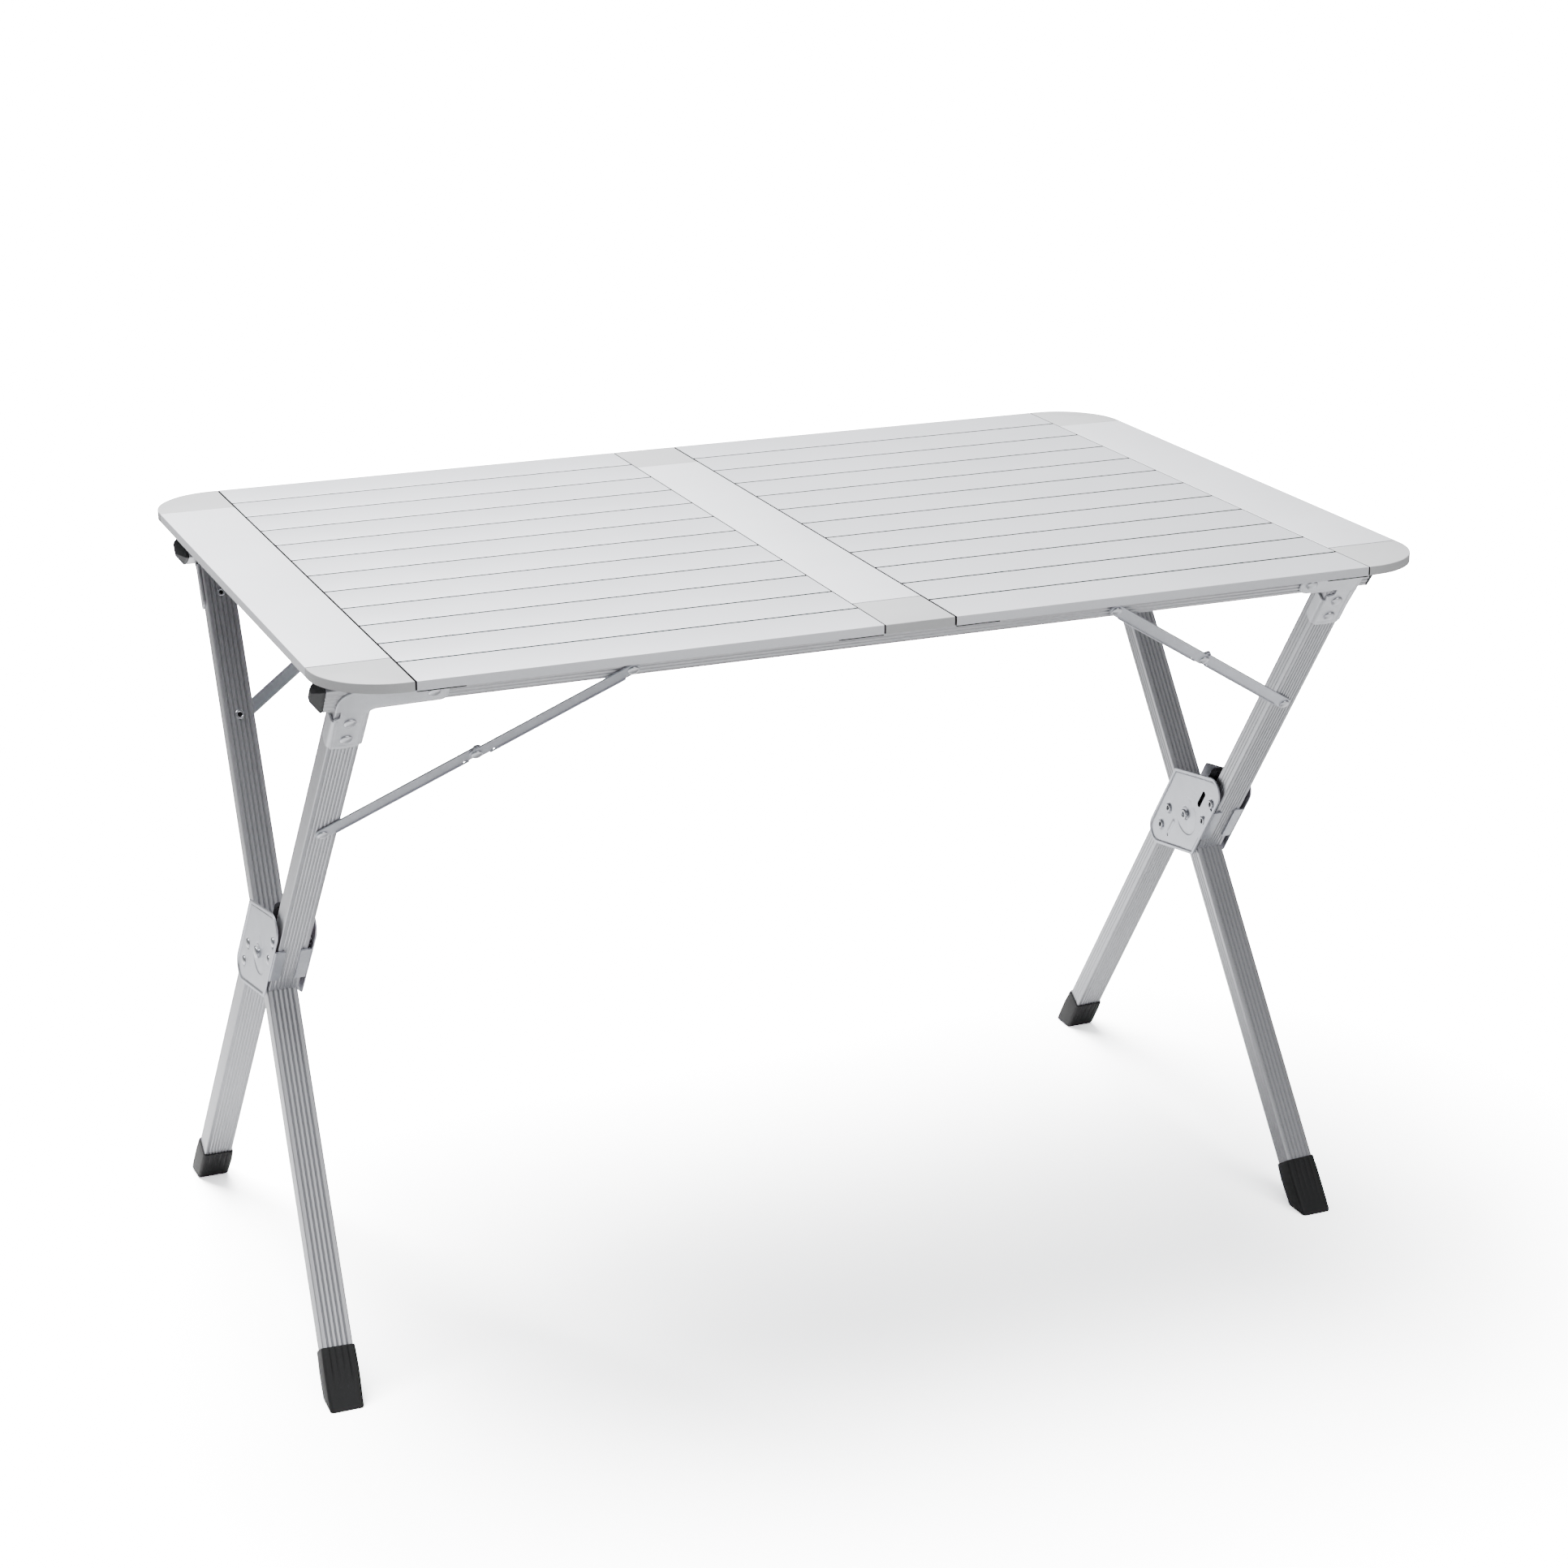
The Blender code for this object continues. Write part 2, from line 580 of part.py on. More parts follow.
# Corner brackets: an arm on the rail's outer face and a channel that holds the leg's top.
for frame, face_name in (("A", "front"), ("B", "back")):
    portal = portal_place(frame)
    off = OFF_A_TOP if frame == "A" else OFF_B
    out = -1.0 if frame == "A" else 1.0
    skin_n = off + out * (TUBE_T / 2 + GAP)
    reach = rail_reach(frame)
    tilt = TILT_A if frame == "A" else TILT_B
    slope = SPLAY * math.cos(tilt)
    for side, side_name in ((-1, "left"), (1, "right")):
        long_arm = (side == -1) == (frame == "A")
        arm_x = ARM_LONG_X if long_arm else ARM_SHORT_X
        s_top = reach - RAIL_TALL / 2 - 0.0015
        s_low = s_top - BRACKET_DROP

        def leg_x(s):
            return PIVOT_X - slope * s

        half = TUBE_W / 2 + GAP + BRACKET_T
        arm_low = reach - RAIL_TALL / 2 + 0.001
        arm_high = reach + RAIL_TALL / 2 - 0.0015
        corners = [
            (leg_x(s_low) - half + 0.0004, s_low),
            (leg_x(s_low) + half - 0.0004, s_low),
            (leg_x(arm_high) + half - 0.0004, arm_high),
            (arm_x - 0.014, arm_high),
            (arm_x - 0.014, arm_low + 0.0005),
            (leg_x(arm_low) - half + 0.0004, arm_low - 0.001),
        ]
        radii = [0.002, 0.002, 0.019, 0.005, 0.007, 0.008]
        outline = [(side * x, s) for x, s in rounded(corners, radii, steps=5)]
        low, high = sorted((skin_n, skin_n + out * BRACKET_T))
        bracket = slab(f"bracket_{face_name}_{side_name}", outline, portal, low, high, STEEL, "ws")
        leg = leg_place(side, frame)
        for turn in (-1, 1):
            lo_w, hi_w = sorted((turn * (TUBE_W / 2 + GAP), turn * (half - 0.0001)))
            lo_n, hi_n = sorted((skin_n + out * BRACKET_T * 0.9, skin_n - out * 0.0120))
            wing = box(
                f"wing_{face_name}_{side_name}_{'in' if turn < 0 else 'out'}",
                (lo_w, lo_n, s_low + 0.006),
                (hi_w, hi_n, s_top - 0.004),
                STEEL,
                leg,
            )
            combine(bracket, wing, "UNION")
        eye = lathe(
            f"arm_eye_{face_name}_{side_name}",
            [(0.0029, -0.008), (0.0029, 0.008)],
            portal.at(side * arm_x, skin_n, reach),
            portal.n,
            [1, 0, 0],
            STEEL,
            sides=20,
        )
        combine(bracket, eye, "DIFFERENCE")
        lathe(
            f"arm_rivet_{face_name}_{side_name}",
            [
                (0.0026, 0.0), (0.0026, BRACKET_T + 0.0003), (0.0055, BRACKET_T + 0.0003),
                (0.0055, BRACKET_T + 0.0010), (0.0044, BRACKET_T + 0.0020), (0.0020, BRACKET_T + 0.0026),
            ],
            portal.at(side * arm_x, skin_n, reach),
            portal.n * out,
            [1, 0, 0],
            RIVET,
            sides=20,
        )

        # Folding brace: two flat links that meet in the middle.
        leg_point = np.array([leg_x(BRACE_LEG_S), BRACE_LEG_S])
        rail_point = np.array([BRACE_RAIL_X, reach])
        mid_point = (leg_point + rail_point) / 2
        for kind, start, end, lift in (
            ("leg", leg_point, mid_point, 0.0),
            ("rail", mid_point, rail_point, BRACE_T + GAP),
        ):
            along = unit(end - start)
            across = np.array([-along[1], along[0]])
            r = BRACE_W / 2
            ring = []
            for k in range(9):
                a = math.pi / 2 + math.pi * k / 8
                ring.append(start + r * (along * math.cos(a) + across * math.sin(a)))
            for k in range(9):
                a = -math.pi / 2 + math.pi * k / 8
                ring.append(end + r * (along * math.cos(a) + across * math.sin(a)))
            outline = [(side * x, s) for x, s in ring]
            low, high = sorted((skin_n + out * lift, skin_n + out * (lift + BRACE_T)))
            slab(f"brace_{kind}_{face_name}_{side_name}", outline, portal, low, high, STEEL, "ws")
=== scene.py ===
# %% [markdown]
# # A folding side table, dressed from its frame
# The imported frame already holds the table's solids, its five bodies and its joints. This notebook puts
# a finished surface on each of them. A sheet-metal table could be sculpted freely, but its parts are
# all pressed, drawn or turned, so each one is written here as a formula: a section carried along a
# path, an outline given a thickness, or a profile turned about an axis.

# %% Load the frame
import json
import math

import bmesh
import bpy
import numpy as np
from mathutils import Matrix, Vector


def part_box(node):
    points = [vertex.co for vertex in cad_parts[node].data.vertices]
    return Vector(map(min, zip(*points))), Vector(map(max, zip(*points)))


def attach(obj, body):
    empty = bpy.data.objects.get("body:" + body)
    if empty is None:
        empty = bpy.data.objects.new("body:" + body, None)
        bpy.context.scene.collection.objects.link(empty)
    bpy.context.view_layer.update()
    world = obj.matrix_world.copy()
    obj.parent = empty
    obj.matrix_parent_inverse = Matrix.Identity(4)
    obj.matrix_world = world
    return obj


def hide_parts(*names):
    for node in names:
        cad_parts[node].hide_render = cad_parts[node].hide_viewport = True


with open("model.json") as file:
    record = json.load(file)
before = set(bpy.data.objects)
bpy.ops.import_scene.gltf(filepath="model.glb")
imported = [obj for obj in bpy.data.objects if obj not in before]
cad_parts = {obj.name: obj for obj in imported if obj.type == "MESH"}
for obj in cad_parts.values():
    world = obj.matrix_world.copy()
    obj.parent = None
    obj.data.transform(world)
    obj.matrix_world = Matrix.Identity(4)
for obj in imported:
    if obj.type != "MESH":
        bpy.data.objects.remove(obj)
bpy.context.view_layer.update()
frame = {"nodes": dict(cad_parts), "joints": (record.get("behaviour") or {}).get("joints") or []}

# %% [markdown]
# ## The driving sizes
# A folding table is laid out round its crossing joint: the two frames turn on one axis, and every tube
# sits at a fixed distance in front of or behind it. The joint's place comes from the frame's own joint
# record and the outer sizes from its boxes. The remaining sizes are the stock sizes of the extrusions
# and pressings, so the visual pieces land exactly on the solids.

# %% Places read from the frame
scissor = next(j for j in frame["joints"] if j["name"] == "scissor")
PIVOT_Y, PIVOT_Z = scissor["pos_m"][1], scissor["pos_m"][2]
strip_low, strip_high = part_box("end_strip_left")
mid_low, mid_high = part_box("centre_strip")
cap_low, cap_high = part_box("corner_cap_front_left")
rail_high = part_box("rail_front")[1]
pin_low, pin_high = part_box("pivot_right")
TOP_Z = strip_high.z
LOW_Z = mid_low.z
LIP_Z = cap_low.z
HALF_L = -strip_low.x
HALF_D = -cap_low.y
STRIP_END = strip_high.x - strip_low.x
STRIP_MID = mid_high.x - mid_low.x
CAP_DEPTH = cap_high.y - cap_low.y
RAIL_HALF = rail_high.x
PIVOT_X = (pin_low.x + pin_high.x) / 2
print(f"top {2 * HALF_L:.3f} x {2 * HALF_D:.3f} m at {TOP_Z:.3f} m, joint at z {PIVOT_Z:.3f}")

# %% Stock sizes of the extrusions and pressings
GAP = 0.0003
SKIN = 0.0016
SLATS = 12
SLAT_GAP = 0.0032
SLAT_INSET = 0.0017
STRAP_WIDTH = 0.040
STRAP_OFFSET = 0.085
TUBE_W, TUBE_T, WALL = 0.030, 0.021, 0.0015
RAIL_TALL = 0.029
TILT_A, TILT_B = math.radians(35.2), math.radians(34.25)
SPLAY = 0.041
OFF_A_TOP, OFF_A_LOW, OFF_B = -0.026, 0.0355, 0.014
PLATE_IN, PLATE_T, PLATE_ROUND = 0.0184, 0.0018, 0.016
PLATE_SLOPE, PLATE_LOW, PLATE_HIGH = 1.0, -0.024, 0.024
FLANGE_LOW, FLANGE_HIGH, FLANGE_EDGE = 0.004, 0.052, 0.0075
SLOT_N, SLOT_HALF, SLOT_LOW, SLOT_HIGH = -0.0120, 0.0024, 0.031, 0.056
LEVER_T, LEVER_LOW, LEVER_HIGH, LEVER_SLANT, LEVER_HALF = 0.0165, 0.012, 0.096, 0.013, 0.014
BRACKET_T, BRACKET_DROP = 0.0020, 0.052
ARM_LONG_X, ARM_SHORT_X = RAIL_HALF - 0.099, RAIL_HALF - 0.067
BRACE_W, BRACE_T = 0.0135, 0.0020
BRACE_RAIL_X = 2 * HALF_L * 0.2239
BRACE_LEG_S = TOP_Z * 0.323
BOOT_W, BOOT_T, BOOT_LEN = 0.0345, 0.0260, 0.054
SIDES = ((-1, "left"), (1, "right"))
FACES = (("A", "front"), ("B", "back"))
print("slat pitch", round(2 * HALF_D / SLATS * 1000, 1), "mm")


# %% Local frames of the legs and portals
def unit(v):
    """The vector divided by its own length."""
    v = np.asarray(v, float)
    return v / np.linalg.norm(v)


def left_of(v):
    """The plane vector turned a quarter turn to the left."""
    return np.array([-v[1], v[0]])


def lean_of(which):
    """Tilt of a portal and the sign of its lean: A's top leans to the front, B's to the back."""
    return (TILT_A, -1.0) if which == "A" else (TILT_B, 1.0)


def leg_axes(side, which):
    """Origin, width, normal and direction of a leg: the portal's tilt turned by the outward splay."""
    tilt, lean = lean_of(which)
    n = np.array([0.0, math.cos(tilt), -lean * math.sin(tilt)])
    d = unit([-side * SPLAY * math.cos(tilt), lean * math.sin(tilt), math.cos(tilt)])
    return np.array([side * PIVOT_X, PIVOT_Y, PIVOT_Z]), unit(np.cross(n, d)), n, d


def rail_reach(which):
    """Distance from the joint's height to a rail's centre, so that its upper corner meets the top."""
    tilt, lean = lean_of(which)
    off = OFF_A_TOP if which == "A" else OFF_B
    corner = RAIL_TALL / 2 * math.cos(tilt) + TUBE_T / 2 * math.sin(tilt)
    rise = LOW_Z - GAP - corner - PIVOT_Z
    return (rise + lean * off * math.sin(tilt)) / math.cos(tilt)


def portal(which):
    """Middle axes of a portal, its offset, rail distance and body, then its outward sign and face level."""
    off, body = (OFF_A_TOP, "front_frame") if which == "A" else (OFF_B, "back_frame")
    out = lean_of(which)[1]
    return leg_axes(0, which), off, rail_reach(which), body, out, off + out * (TUBE_T / 2 + GAP)


def place(axes, a, b, s):
    """World points from width a, normal b and distance s, all arrays of one shape."""
    o, w, n, d = axes
    a, b, s = np.broadcast_arrays(np.asarray(a, float), b, s)
    return o + a[..., None] * w + b[..., None] * n + s[..., None] * d


print("rail reach", [round(rail_reach(w), 4) for w, _ in FACES])


# %% [markdown]
# ## Turning formulas into meshes
# Blender takes a mesh as a list of points and a list of faces. A grid of points needs no face-by-face
# thought: the faces of a grid are the same four index offsets everywhere. So one function turns any
# stack of rings into a skin, and every piece below is only a rule for its rings.

# %% Skins from rings
WELD = 1e-7
BEVEL_FROM = math.radians(30)


def skin_faces(rows, count, start, loop):
    """Quads between neighbouring rings, then a row back to the first ring or a cap on each end."""
    i = np.arange(rows if loop else rows - 1)[:, None]
    j = np.arange(count)
    here, up, across = i * count, ((i + 1) % rows) * count, (j + 1) % count
    quads = np.stack([here + j, here + across, up + across, up + j], axis=-1) + start
    caps = [] if loop else [start + j[::-1], start + (rows - 1) * count + j]
    return quads.reshape(-1, 4).tolist() + [cap.tolist() for cap in caps]


def add_mesh(name, shells, surface, smooth=38.0, edge=0.0, under=None, loop=False):
    """One object from stacks of rings, normals turned outwards; under paints faces that look down darker,
    as painted shade.
    """
    shells = [np.asarray(rings, float) for rings in shells]
    faces, start = [], 0
    for rings in shells:
        faces += skin_faces(*rings.shape[:2], start, loop)
        start += rings.shape[0] * rings.shape[1]
    mesh = bpy.data.meshes.new(name)
    mesh.from_pydata(np.concatenate([rings.reshape(-1, 3) for rings in shells]).tolist(), [], faces)
    work = bmesh.new()
    work.from_mesh(mesh)
    bmesh.ops.remove_doubles(work, verts=work.verts, dist=WELD)
    bmesh.ops.recalc_face_normals(work, faces=work.faces)
    work.to_mesh(mesh)
    work.free()
    mesh.materials.append(surface)
    # Faces that look down take the second, darker material: painted shade for the underside.
    if under:
        mesh.materials.append(under)
        normals = np.empty(3 * len(mesh.polygons))
        mesh.polygons.foreach_get("normal", normals)
        mesh.polygons.foreach_set("material_index", (normals[2::3] < -0.5).astype(np.int32))
    mesh.shade_smooth()
    mesh.set_sharp_from_angle(angle=math.radians(smooth))
    made = bpy.data.objects.new(name, mesh)
    bpy.context.scene.collection.objects.link(made)
    if edge > 0:
        step = made.modifiers.new("edges", "BEVEL")
        step.width = edge
        step.segments = 2
        step.limit_method = "ANGLE"
        step.angle_limit = BEVEL_FROM
        step.harden_normals = True
    return made


def dress(piece, body, slot, *nodes):
    """Lets a piece ride on a body and lets it stand for CAD nodes; the slot is not used."""
    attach(piece, body)
    if nodes:
        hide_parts(*nodes)
    return piece


# %% Lines, arcs and turned profiles
def turned(profile, origin, axis, sides=32):
    """Rings of a round body: (radius, distance) pairs turned about an axis through the origin."""
    profile, axis = np.asarray(profile, float), unit(axis)
    u = unit(np.cross(axis, [0.31, 0.77, 0.55]))
    v = np.cross(axis, u)
    t = np.linspace(0, 2 * math.pi, sides, endpoint=False)
    circle = np.cos(t)[:, None] * u + np.sin(t)[:, None] * v
    return np.asarray(origin) + profile[:, :1, None] * circle + profile[:, 1:, None] * axis


def arc(cx, cy, r, a0, a1, steps):
    """Points on a circle from angle a0 to a1, both in radians."""
    t = np.linspace(a0, a1, steps + 1)
    return np.stack([cx + r * np.cos(t), cy + r * np.sin(t)], axis=-1)


def corner_arc(before, here, after, radius, steps, inset=0.0):
    """The arc that rounds a corner and touches both sides, drawn nearer its centre by the inset."""
    back, ahead = unit(before - here), unit(after - here)
    half = math.acos(float(np.clip(back @ ahead, -1, 1))) / 2
    centre = here + unit(back + ahead) * (radius / math.sin(half))
    start, end = (here + way * (radius / math.tan(half)) - centre for way in (back, ahead))
    a0 = math.atan2(start[1], start[0])
    turn = (math.atan2(end[1], end[0]) - a0 + math.pi) % (2 * math.pi) - math.pi
    return arc(*centre, radius - inset, a0, a0 + turn, steps)


def rounded(corners, radii, steps=8):
    """A closed outline whose corners are arcs that touch the two sides beside them."""
    corners = np.asarray(corners, float)
    beside = zip(np.roll(corners, 1, 0), corners, np.roll(corners, -1, 0), radii)
    return np.concatenate([corner_arc(*corner, steps) for corner in beside])


def even_outline(outline, count):
    """The same closed outline with points at equal spacing along its length."""
    closed = np.concatenate([outline, outline[:1]])
    run = np.concatenate([[0.0], np.cumsum(np.linalg.norm(np.diff(closed, axis=0), axis=1))])
    at = np.linspace(0, run[-1], count, endpoint=False)
    return np.stack([np.interp(at, run, closed[:, 0]), np.interp(at, run, closed[:, 1])], axis=-1)


def carried(section, axis, low, high):
    """Two rings of a section at low and high on an axis; its columns fill the other two axes."""
    rings = np.zeros((2, len(section), 3))
    rings[:, :, [i for i in range(3) if i != axis]] = section
    rings[:, :, axis] = [[low], [high]]
    return rings


def block(x0, x1, y0, y1, z0, z1):
    """Two rings of a plain box, used for hidden straps and the small mouldings in the gaps."""
    return carried(np.array([(x0, y0), (x1, y0), (x1, y1), (x0, y1)]), 2, z0, z1)


print("mesh helpers ready")

# %% [markdown]
# ## Finishes
# Anodised aluminium is drawn or brushed along its length, so its roughness and its fine relief vary
# across the grain and hardly along it. Noise stretched on Object coordinates gives that for any piece
# without unwrapping it. Plated steel shows a finer, cloudier pattern, and the moulded parts a fine
# even texture. All three are one recipe: slow noise moves the tone a little, quick noise moves the
# roughness and a relief of a few hundredths of a millimetre.


# %% Finish recipe
def noise(tree, scale, detail, stretch=(1.0, 1.0, 1.0)):
    """Noise on Object coordinates, stretched by a factor along each axis."""
    coords = tree.nodes.new("ShaderNodeTexCoord")
    mapping = tree.nodes.new("ShaderNodeMapping")
    mapping.inputs["Scale"].default_value = stretch
    made = tree.nodes.new("ShaderNodeTexNoise")
    made.inputs["Scale"].default_value = scale
    made.inputs["Detail"].default_value = detail
    tree.links.new(coords.outputs["Object"], mapping.inputs["Vector"])
    tree.links.new(mapping.outputs["Vector"], made.inputs["Vector"])
    return made.outputs["Fac"]


def span(tree, value, low, high, start=0.0, end=1.0):
    """Maps a value between start and end to a range of numbers."""
    made = tree.nodes.new("ShaderNodeMapRange")
    for socket, number in (("From Min", start), ("From Max", end), ("To Min", low), ("To Max", high)):
        made.inputs[socket].default_value = number
    tree.links.new(value, made.inputs["Value"])
    return made.outputs["Result"]


def finish(name, color, rough, metal=0.0, stretch=(1.0, 1.0, 1.0), gloss=0.5, *, quick, slow, tone, spread,
           bump, height):
    """Tone between two tints by slow noise; roughness spread and a bump of some height by quick noise."""
    made = bpy.data.materials.new(name)
    made.use_nodes = True
    tree = made.node_tree
    shader = tree.nodes["Principled BSDF"]
    for socket, number in (("Metallic", metal), ("Roughness", rough), ("Specular IOR Level", gloss)):
        shader.inputs[socket].default_value = number
    grain = noise(tree, quick, 2.0, stretch)
    tones = tree.nodes.new("ShaderNodeValToRGB")
    for stop, at, factor in zip(tones.color_ramp.elements, (0.35, 0.65), (1 - tone, 1 + tone)):
        stop.position = at
        stop.color = (*(min(1.0, c * factor) for c in color), 1.0)
    tree.links.new(noise(tree, *slow), tones.inputs["Fac"])
    tree.links.new(tones.outputs["Color"], shader.inputs["Base Color"])
    tree.links.new(span(tree, grain, rough - spread[0], rough + spread[1]), shader.inputs["Roughness"])
    relief = tree.nodes.new("ShaderNodeBump")
    relief.inputs["Strength"].default_value = bump
    relief.inputs["Distance"].default_value = height
    tree.links.new(grain, relief.inputs["Height"])
    tree.links.new(relief.outputs["Normal"], shader.inputs["Normal"])
    return made


# %% Metals
ALONG_X, ALONG_Y, ALONG_Z = (0.012, 1.0, 1.0), (1.0, 0.012, 1.0), (1.0, 0.03, 0.02)
BRUSHED = {"quick": 2600.0, "slow": (9.0, 2.0), "tone": 0.02, "spread": (0.03, 0.03), "bump": 0.03,
           "height": 0.00002}
DRAWN = {**BRUSHED, "bump": 0.01}
PLATED = {"quick": 1400.0, "slow": (45.0, 3.0), "tone": 0.03, "spread": (0.05, 0.06), "bump": 0.06,
          "height": 0.00002}
SLAT_FINISH = finish("slat_anodised", (0.69, 0.70, 0.735), 0.50, 0.55, ALONG_X, **BRUSHED)
# The strips are the slats' anodised finish in a lighter tint: painted light for the way their cross grain
# takes the light.
STRIP_FINISH = finish("strip_anodised", (0.83, 0.84, 0.875), 0.50, 0.50, ALONG_Y, **BRUSHED)
# A dark finish for faces that look down: painted shade for the table's underside.
SHADE_BELOW_FINISH = finish("underside_painted_shade", (0.16, 0.162, 0.168), 0.60, 0.60, ALONG_X, **BRUSHED)
RAIL_FINISH = finish("rail_anodised", (0.51, 0.517, 0.54), 0.40, 0.85, ALONG_X, **BRUSHED)
LEG_FINISH = finish("leg_anodised", (0.445, 0.452, 0.475), 0.36, 0.85, ALONG_Z, **DRAWN)
STEEL_FINISH = finish("plated_sheet", (0.50, 0.514, 0.555), 0.34, 0.88, **PLATED)
# The brackets' plated steel is lighter than the plates': painted light for the bright floor their faces
# mirror.
BRACKET_FINISH = finish("plated_bracket_painted_light", (0.66, 0.672, 0.705), 0.42, 0.6, **PLATED)
BRACE_FINISH = finish("plated_brace", (0.54, 0.556, 0.60), 0.38, 0.8, **PLATED)
RIVET_FINISH = finish("rivet_bright", (0.56, 0.57, 0.60), 0.22, 1.0, **PLATED)
print("metals:", [m.name for m in (SLAT_FINISH, STRIP_FINISH, RAIL_FINISH, LEG_FINISH)])

# %% Plastics and rubber
MOULDED = {"slow": (30.0, 3.0), "spread": (0.05, 0.08), "height": 0.00005, "tone": 0.04}
CAP_FINISH = finish("cap_moulded", (0.455, 0.46, 0.47), 0.46, gloss=0.45, quick=1500.0, bump=0.15,
                    **{**MOULDED, "tone": 0.02})
PLUG_FINISH = finish("plug_moulded", (0.042, 0.044, 0.046), 0.50, gloss=0.25, quick=1500.0, bump=0.10,
                     **MOULDED)
BOOT_FINISH = finish("boot_rubber_moulded", (0.013, 0.013, 0.014), 0.52, gloss=0.3, quick=1100.0, bump=0.12,
                     **{**MOULDED, "tone": 0.10})
LEVER_FINISH = finish("lever_moulded", (0.019, 0.019, 0.023), 0.55, gloss=0.02, quick=1300.0, bump=0.04,
                      **MOULDED)
# One black material for painted shade in gaps, seams, slits and rivet holes, and for the small clips in the
# slat gaps.
DARK_FINISH = finish("clips_and_painted_shade", (0.010, 0.010, 0.011), 0.75, gloss=0.0, quick=1300.0, bump=0.05,
                     **MOULDED)
print("mouldings:", CAP_FINISH.name, PLUG_FINISH.name, BOOT_FINISH.name, LEVER_FINISH.name)

# %% [markdown]
# ## The slats
# Each slat is one length of a drawn channel: a flat skin with a turned edge on both sides. A box would
# give knife edges, and the fine bright lines between slats come from the small radius on each edge. So
# the channel's section is drawn with arcs and carried along X. The outermost slats have a deeper lip.


# %% Channel section and slats
EDGE_ROUND = 0.0006


def channel_section(y0, y1, low0, low1):
    """Closed outline of a downward channel from y0 to y1: outer skin with arcs, then the inner wall."""
    r, ceiling = EDGE_ROUND, TOP_Z - SKIN
    return np.concatenate([
        [[y0, low0]],
        arc(y0 + r, TOP_Z - r, r, math.pi, math.pi / 2, 5),
        arc(y1 - r, TOP_Z - r, r, math.pi / 2, 0, 5),
        [[y1, low1], [y1 - SKIN, low1], [y1 - SKIN, ceiling], [y0 + SKIN, ceiling], [y0 + SKIN, low0]],
    ])


pitch = 2 * HALF_D / SLATS
inner_x = STRIP_MID / 2 + SLAT_INSET
outer_x = HALF_L - STRIP_END - SLAT_INSET
for side, side_name in SIDES:
    ends = sorted((side * inner_x, side * outer_x))
    for k in range(SLATS):
        first, last = k == 0, k == SLATS - 1
        section = channel_section(
            -HALF_D + k * pitch + (0.0 if first else SLAT_GAP / 2),
            -HALF_D + (k + 1) * pitch - (0.0 if last else SLAT_GAP / 2),
            LIP_Z if first else LOW_Z,
            LIP_Z if last else LOW_Z,
        )
        piece = add_mesh(f"slat_{side_name}_{k + 1}", [carried(section, 0, *ends)], SLAT_FINISH,
                         under=SHADE_BELOW_FINISH)
        node = "edge_slat_front" if first else "edge_slat_back" if last else "slat_mat"
        dress(piece, "table_top", "slat_aluminium", f"{node}_{side_name}")
print("slats:", 2 * SLATS)

# %% [markdown]
# ## Straps, gap shade and clips
# The slats of each mat hang together on two cross straps. A black strip with small black clips fills
# every gap just below the skin; the strip is painted shade, standing in for the shade deep in each gap,
# and from above it is only the dark line between slats. From below the strips are what makes the top
# look like a roll of slats and not a board. The same painted shade fills the seams to the strips, and
# short black blocks under the ends of each lip are painted shade for the slit there.

# %% Straps, gap shade strips, clips, lip slit shade and seam shade
strap_top = TOP_Z - SKIN - 0.0004
gap_half = SLAT_GAP / 2 - 0.00003
clip_half = SLAT_GAP / 2 - 0.00001
seam_half = SLAT_INSET / 2 - 0.00003
seam_places = np.array([inner_x - SLAT_INSET / 2, outer_x + SLAT_INSET / 2])
SLIT_LENGTH = 0.044
CLIP_PLACES = np.array([0.0015, 0.065, 0.105])
rows = -HALF_D + pitch * np.arange(1, SLATS)
for side, side_name in SIDES:
    x0, x1 = sorted((side * inner_x, side * outer_x))
    straps = [block(x - STRAP_WIDTH / 2, x + STRAP_WIDTH / 2, rows[0] + SLAT_GAP, rows[-1] - SLAT_GAP,
                    strap_top - 0.0016, strap_top) for x in (x0 + STRAP_OFFSET, x1 - STRAP_OFFSET)]
    # Black strips just below the skin in every slat gap: painted shade for the shadow deep in each gap.
    strips = [block(x0 + 0.0005, x1 - 0.0005, y - gap_half, y + gap_half, TOP_Z - 0.0080, TOP_Z - 0.0002)
              for y in rows]
    clips = [block(x - 0.0020, x + 0.0020, y - clip_half, y + clip_half, TOP_Z - 0.0060, TOP_Z - 0.0001)
             for y in rows for x in np.concatenate([x0 + CLIP_PLACES, x1 - CLIP_PLACES])]
    # Short black blocks just under the ends of each lip: painted shade for the slit between lip and rail.
    slit_shades = [block(x, x + SLIT_LENGTH, y, y + 0.0026, LIP_Z - 0.0012, LIP_Z - 0.0001)
            for y in (-HALF_D + 0.0004, HALF_D - 0.0030) for x in (x0, x1 - SLIT_LENGTH)]
    # Black blocks in the seams between the slats and the end and centre strips: painted shade for the seam.
    seams = [block(x - seam_half, x + seam_half, -HALF_D + 0.0004, HALF_D - 0.0004, LIP_Z + 0.0005,
                   TOP_Z - 0.0003) for x in side * seam_places]
    for name, blocks, surface, slot, edge in (
        ("straps", straps, SLAT_FINISH, "slat_aluminium", 0.0003),
        ("gap_shade_strips", strips, DARK_FINISH, "plug_plastic", 0.0),
        ("gap_clips", clips, DARK_FINISH, "plug_plastic", 0.0),
        ("lip_slit_shade", slit_shades, DARK_FINISH, "plug_plastic", 0.0004),
        ("seam_strips", seams, DARK_FINISH, "plug_plastic", 0.0),
    ):
        dress(add_mesh(f"{name}_{side_name}", blocks, surface, edge=edge), "table_top", slot)
print("clips per mat:", len(clips))
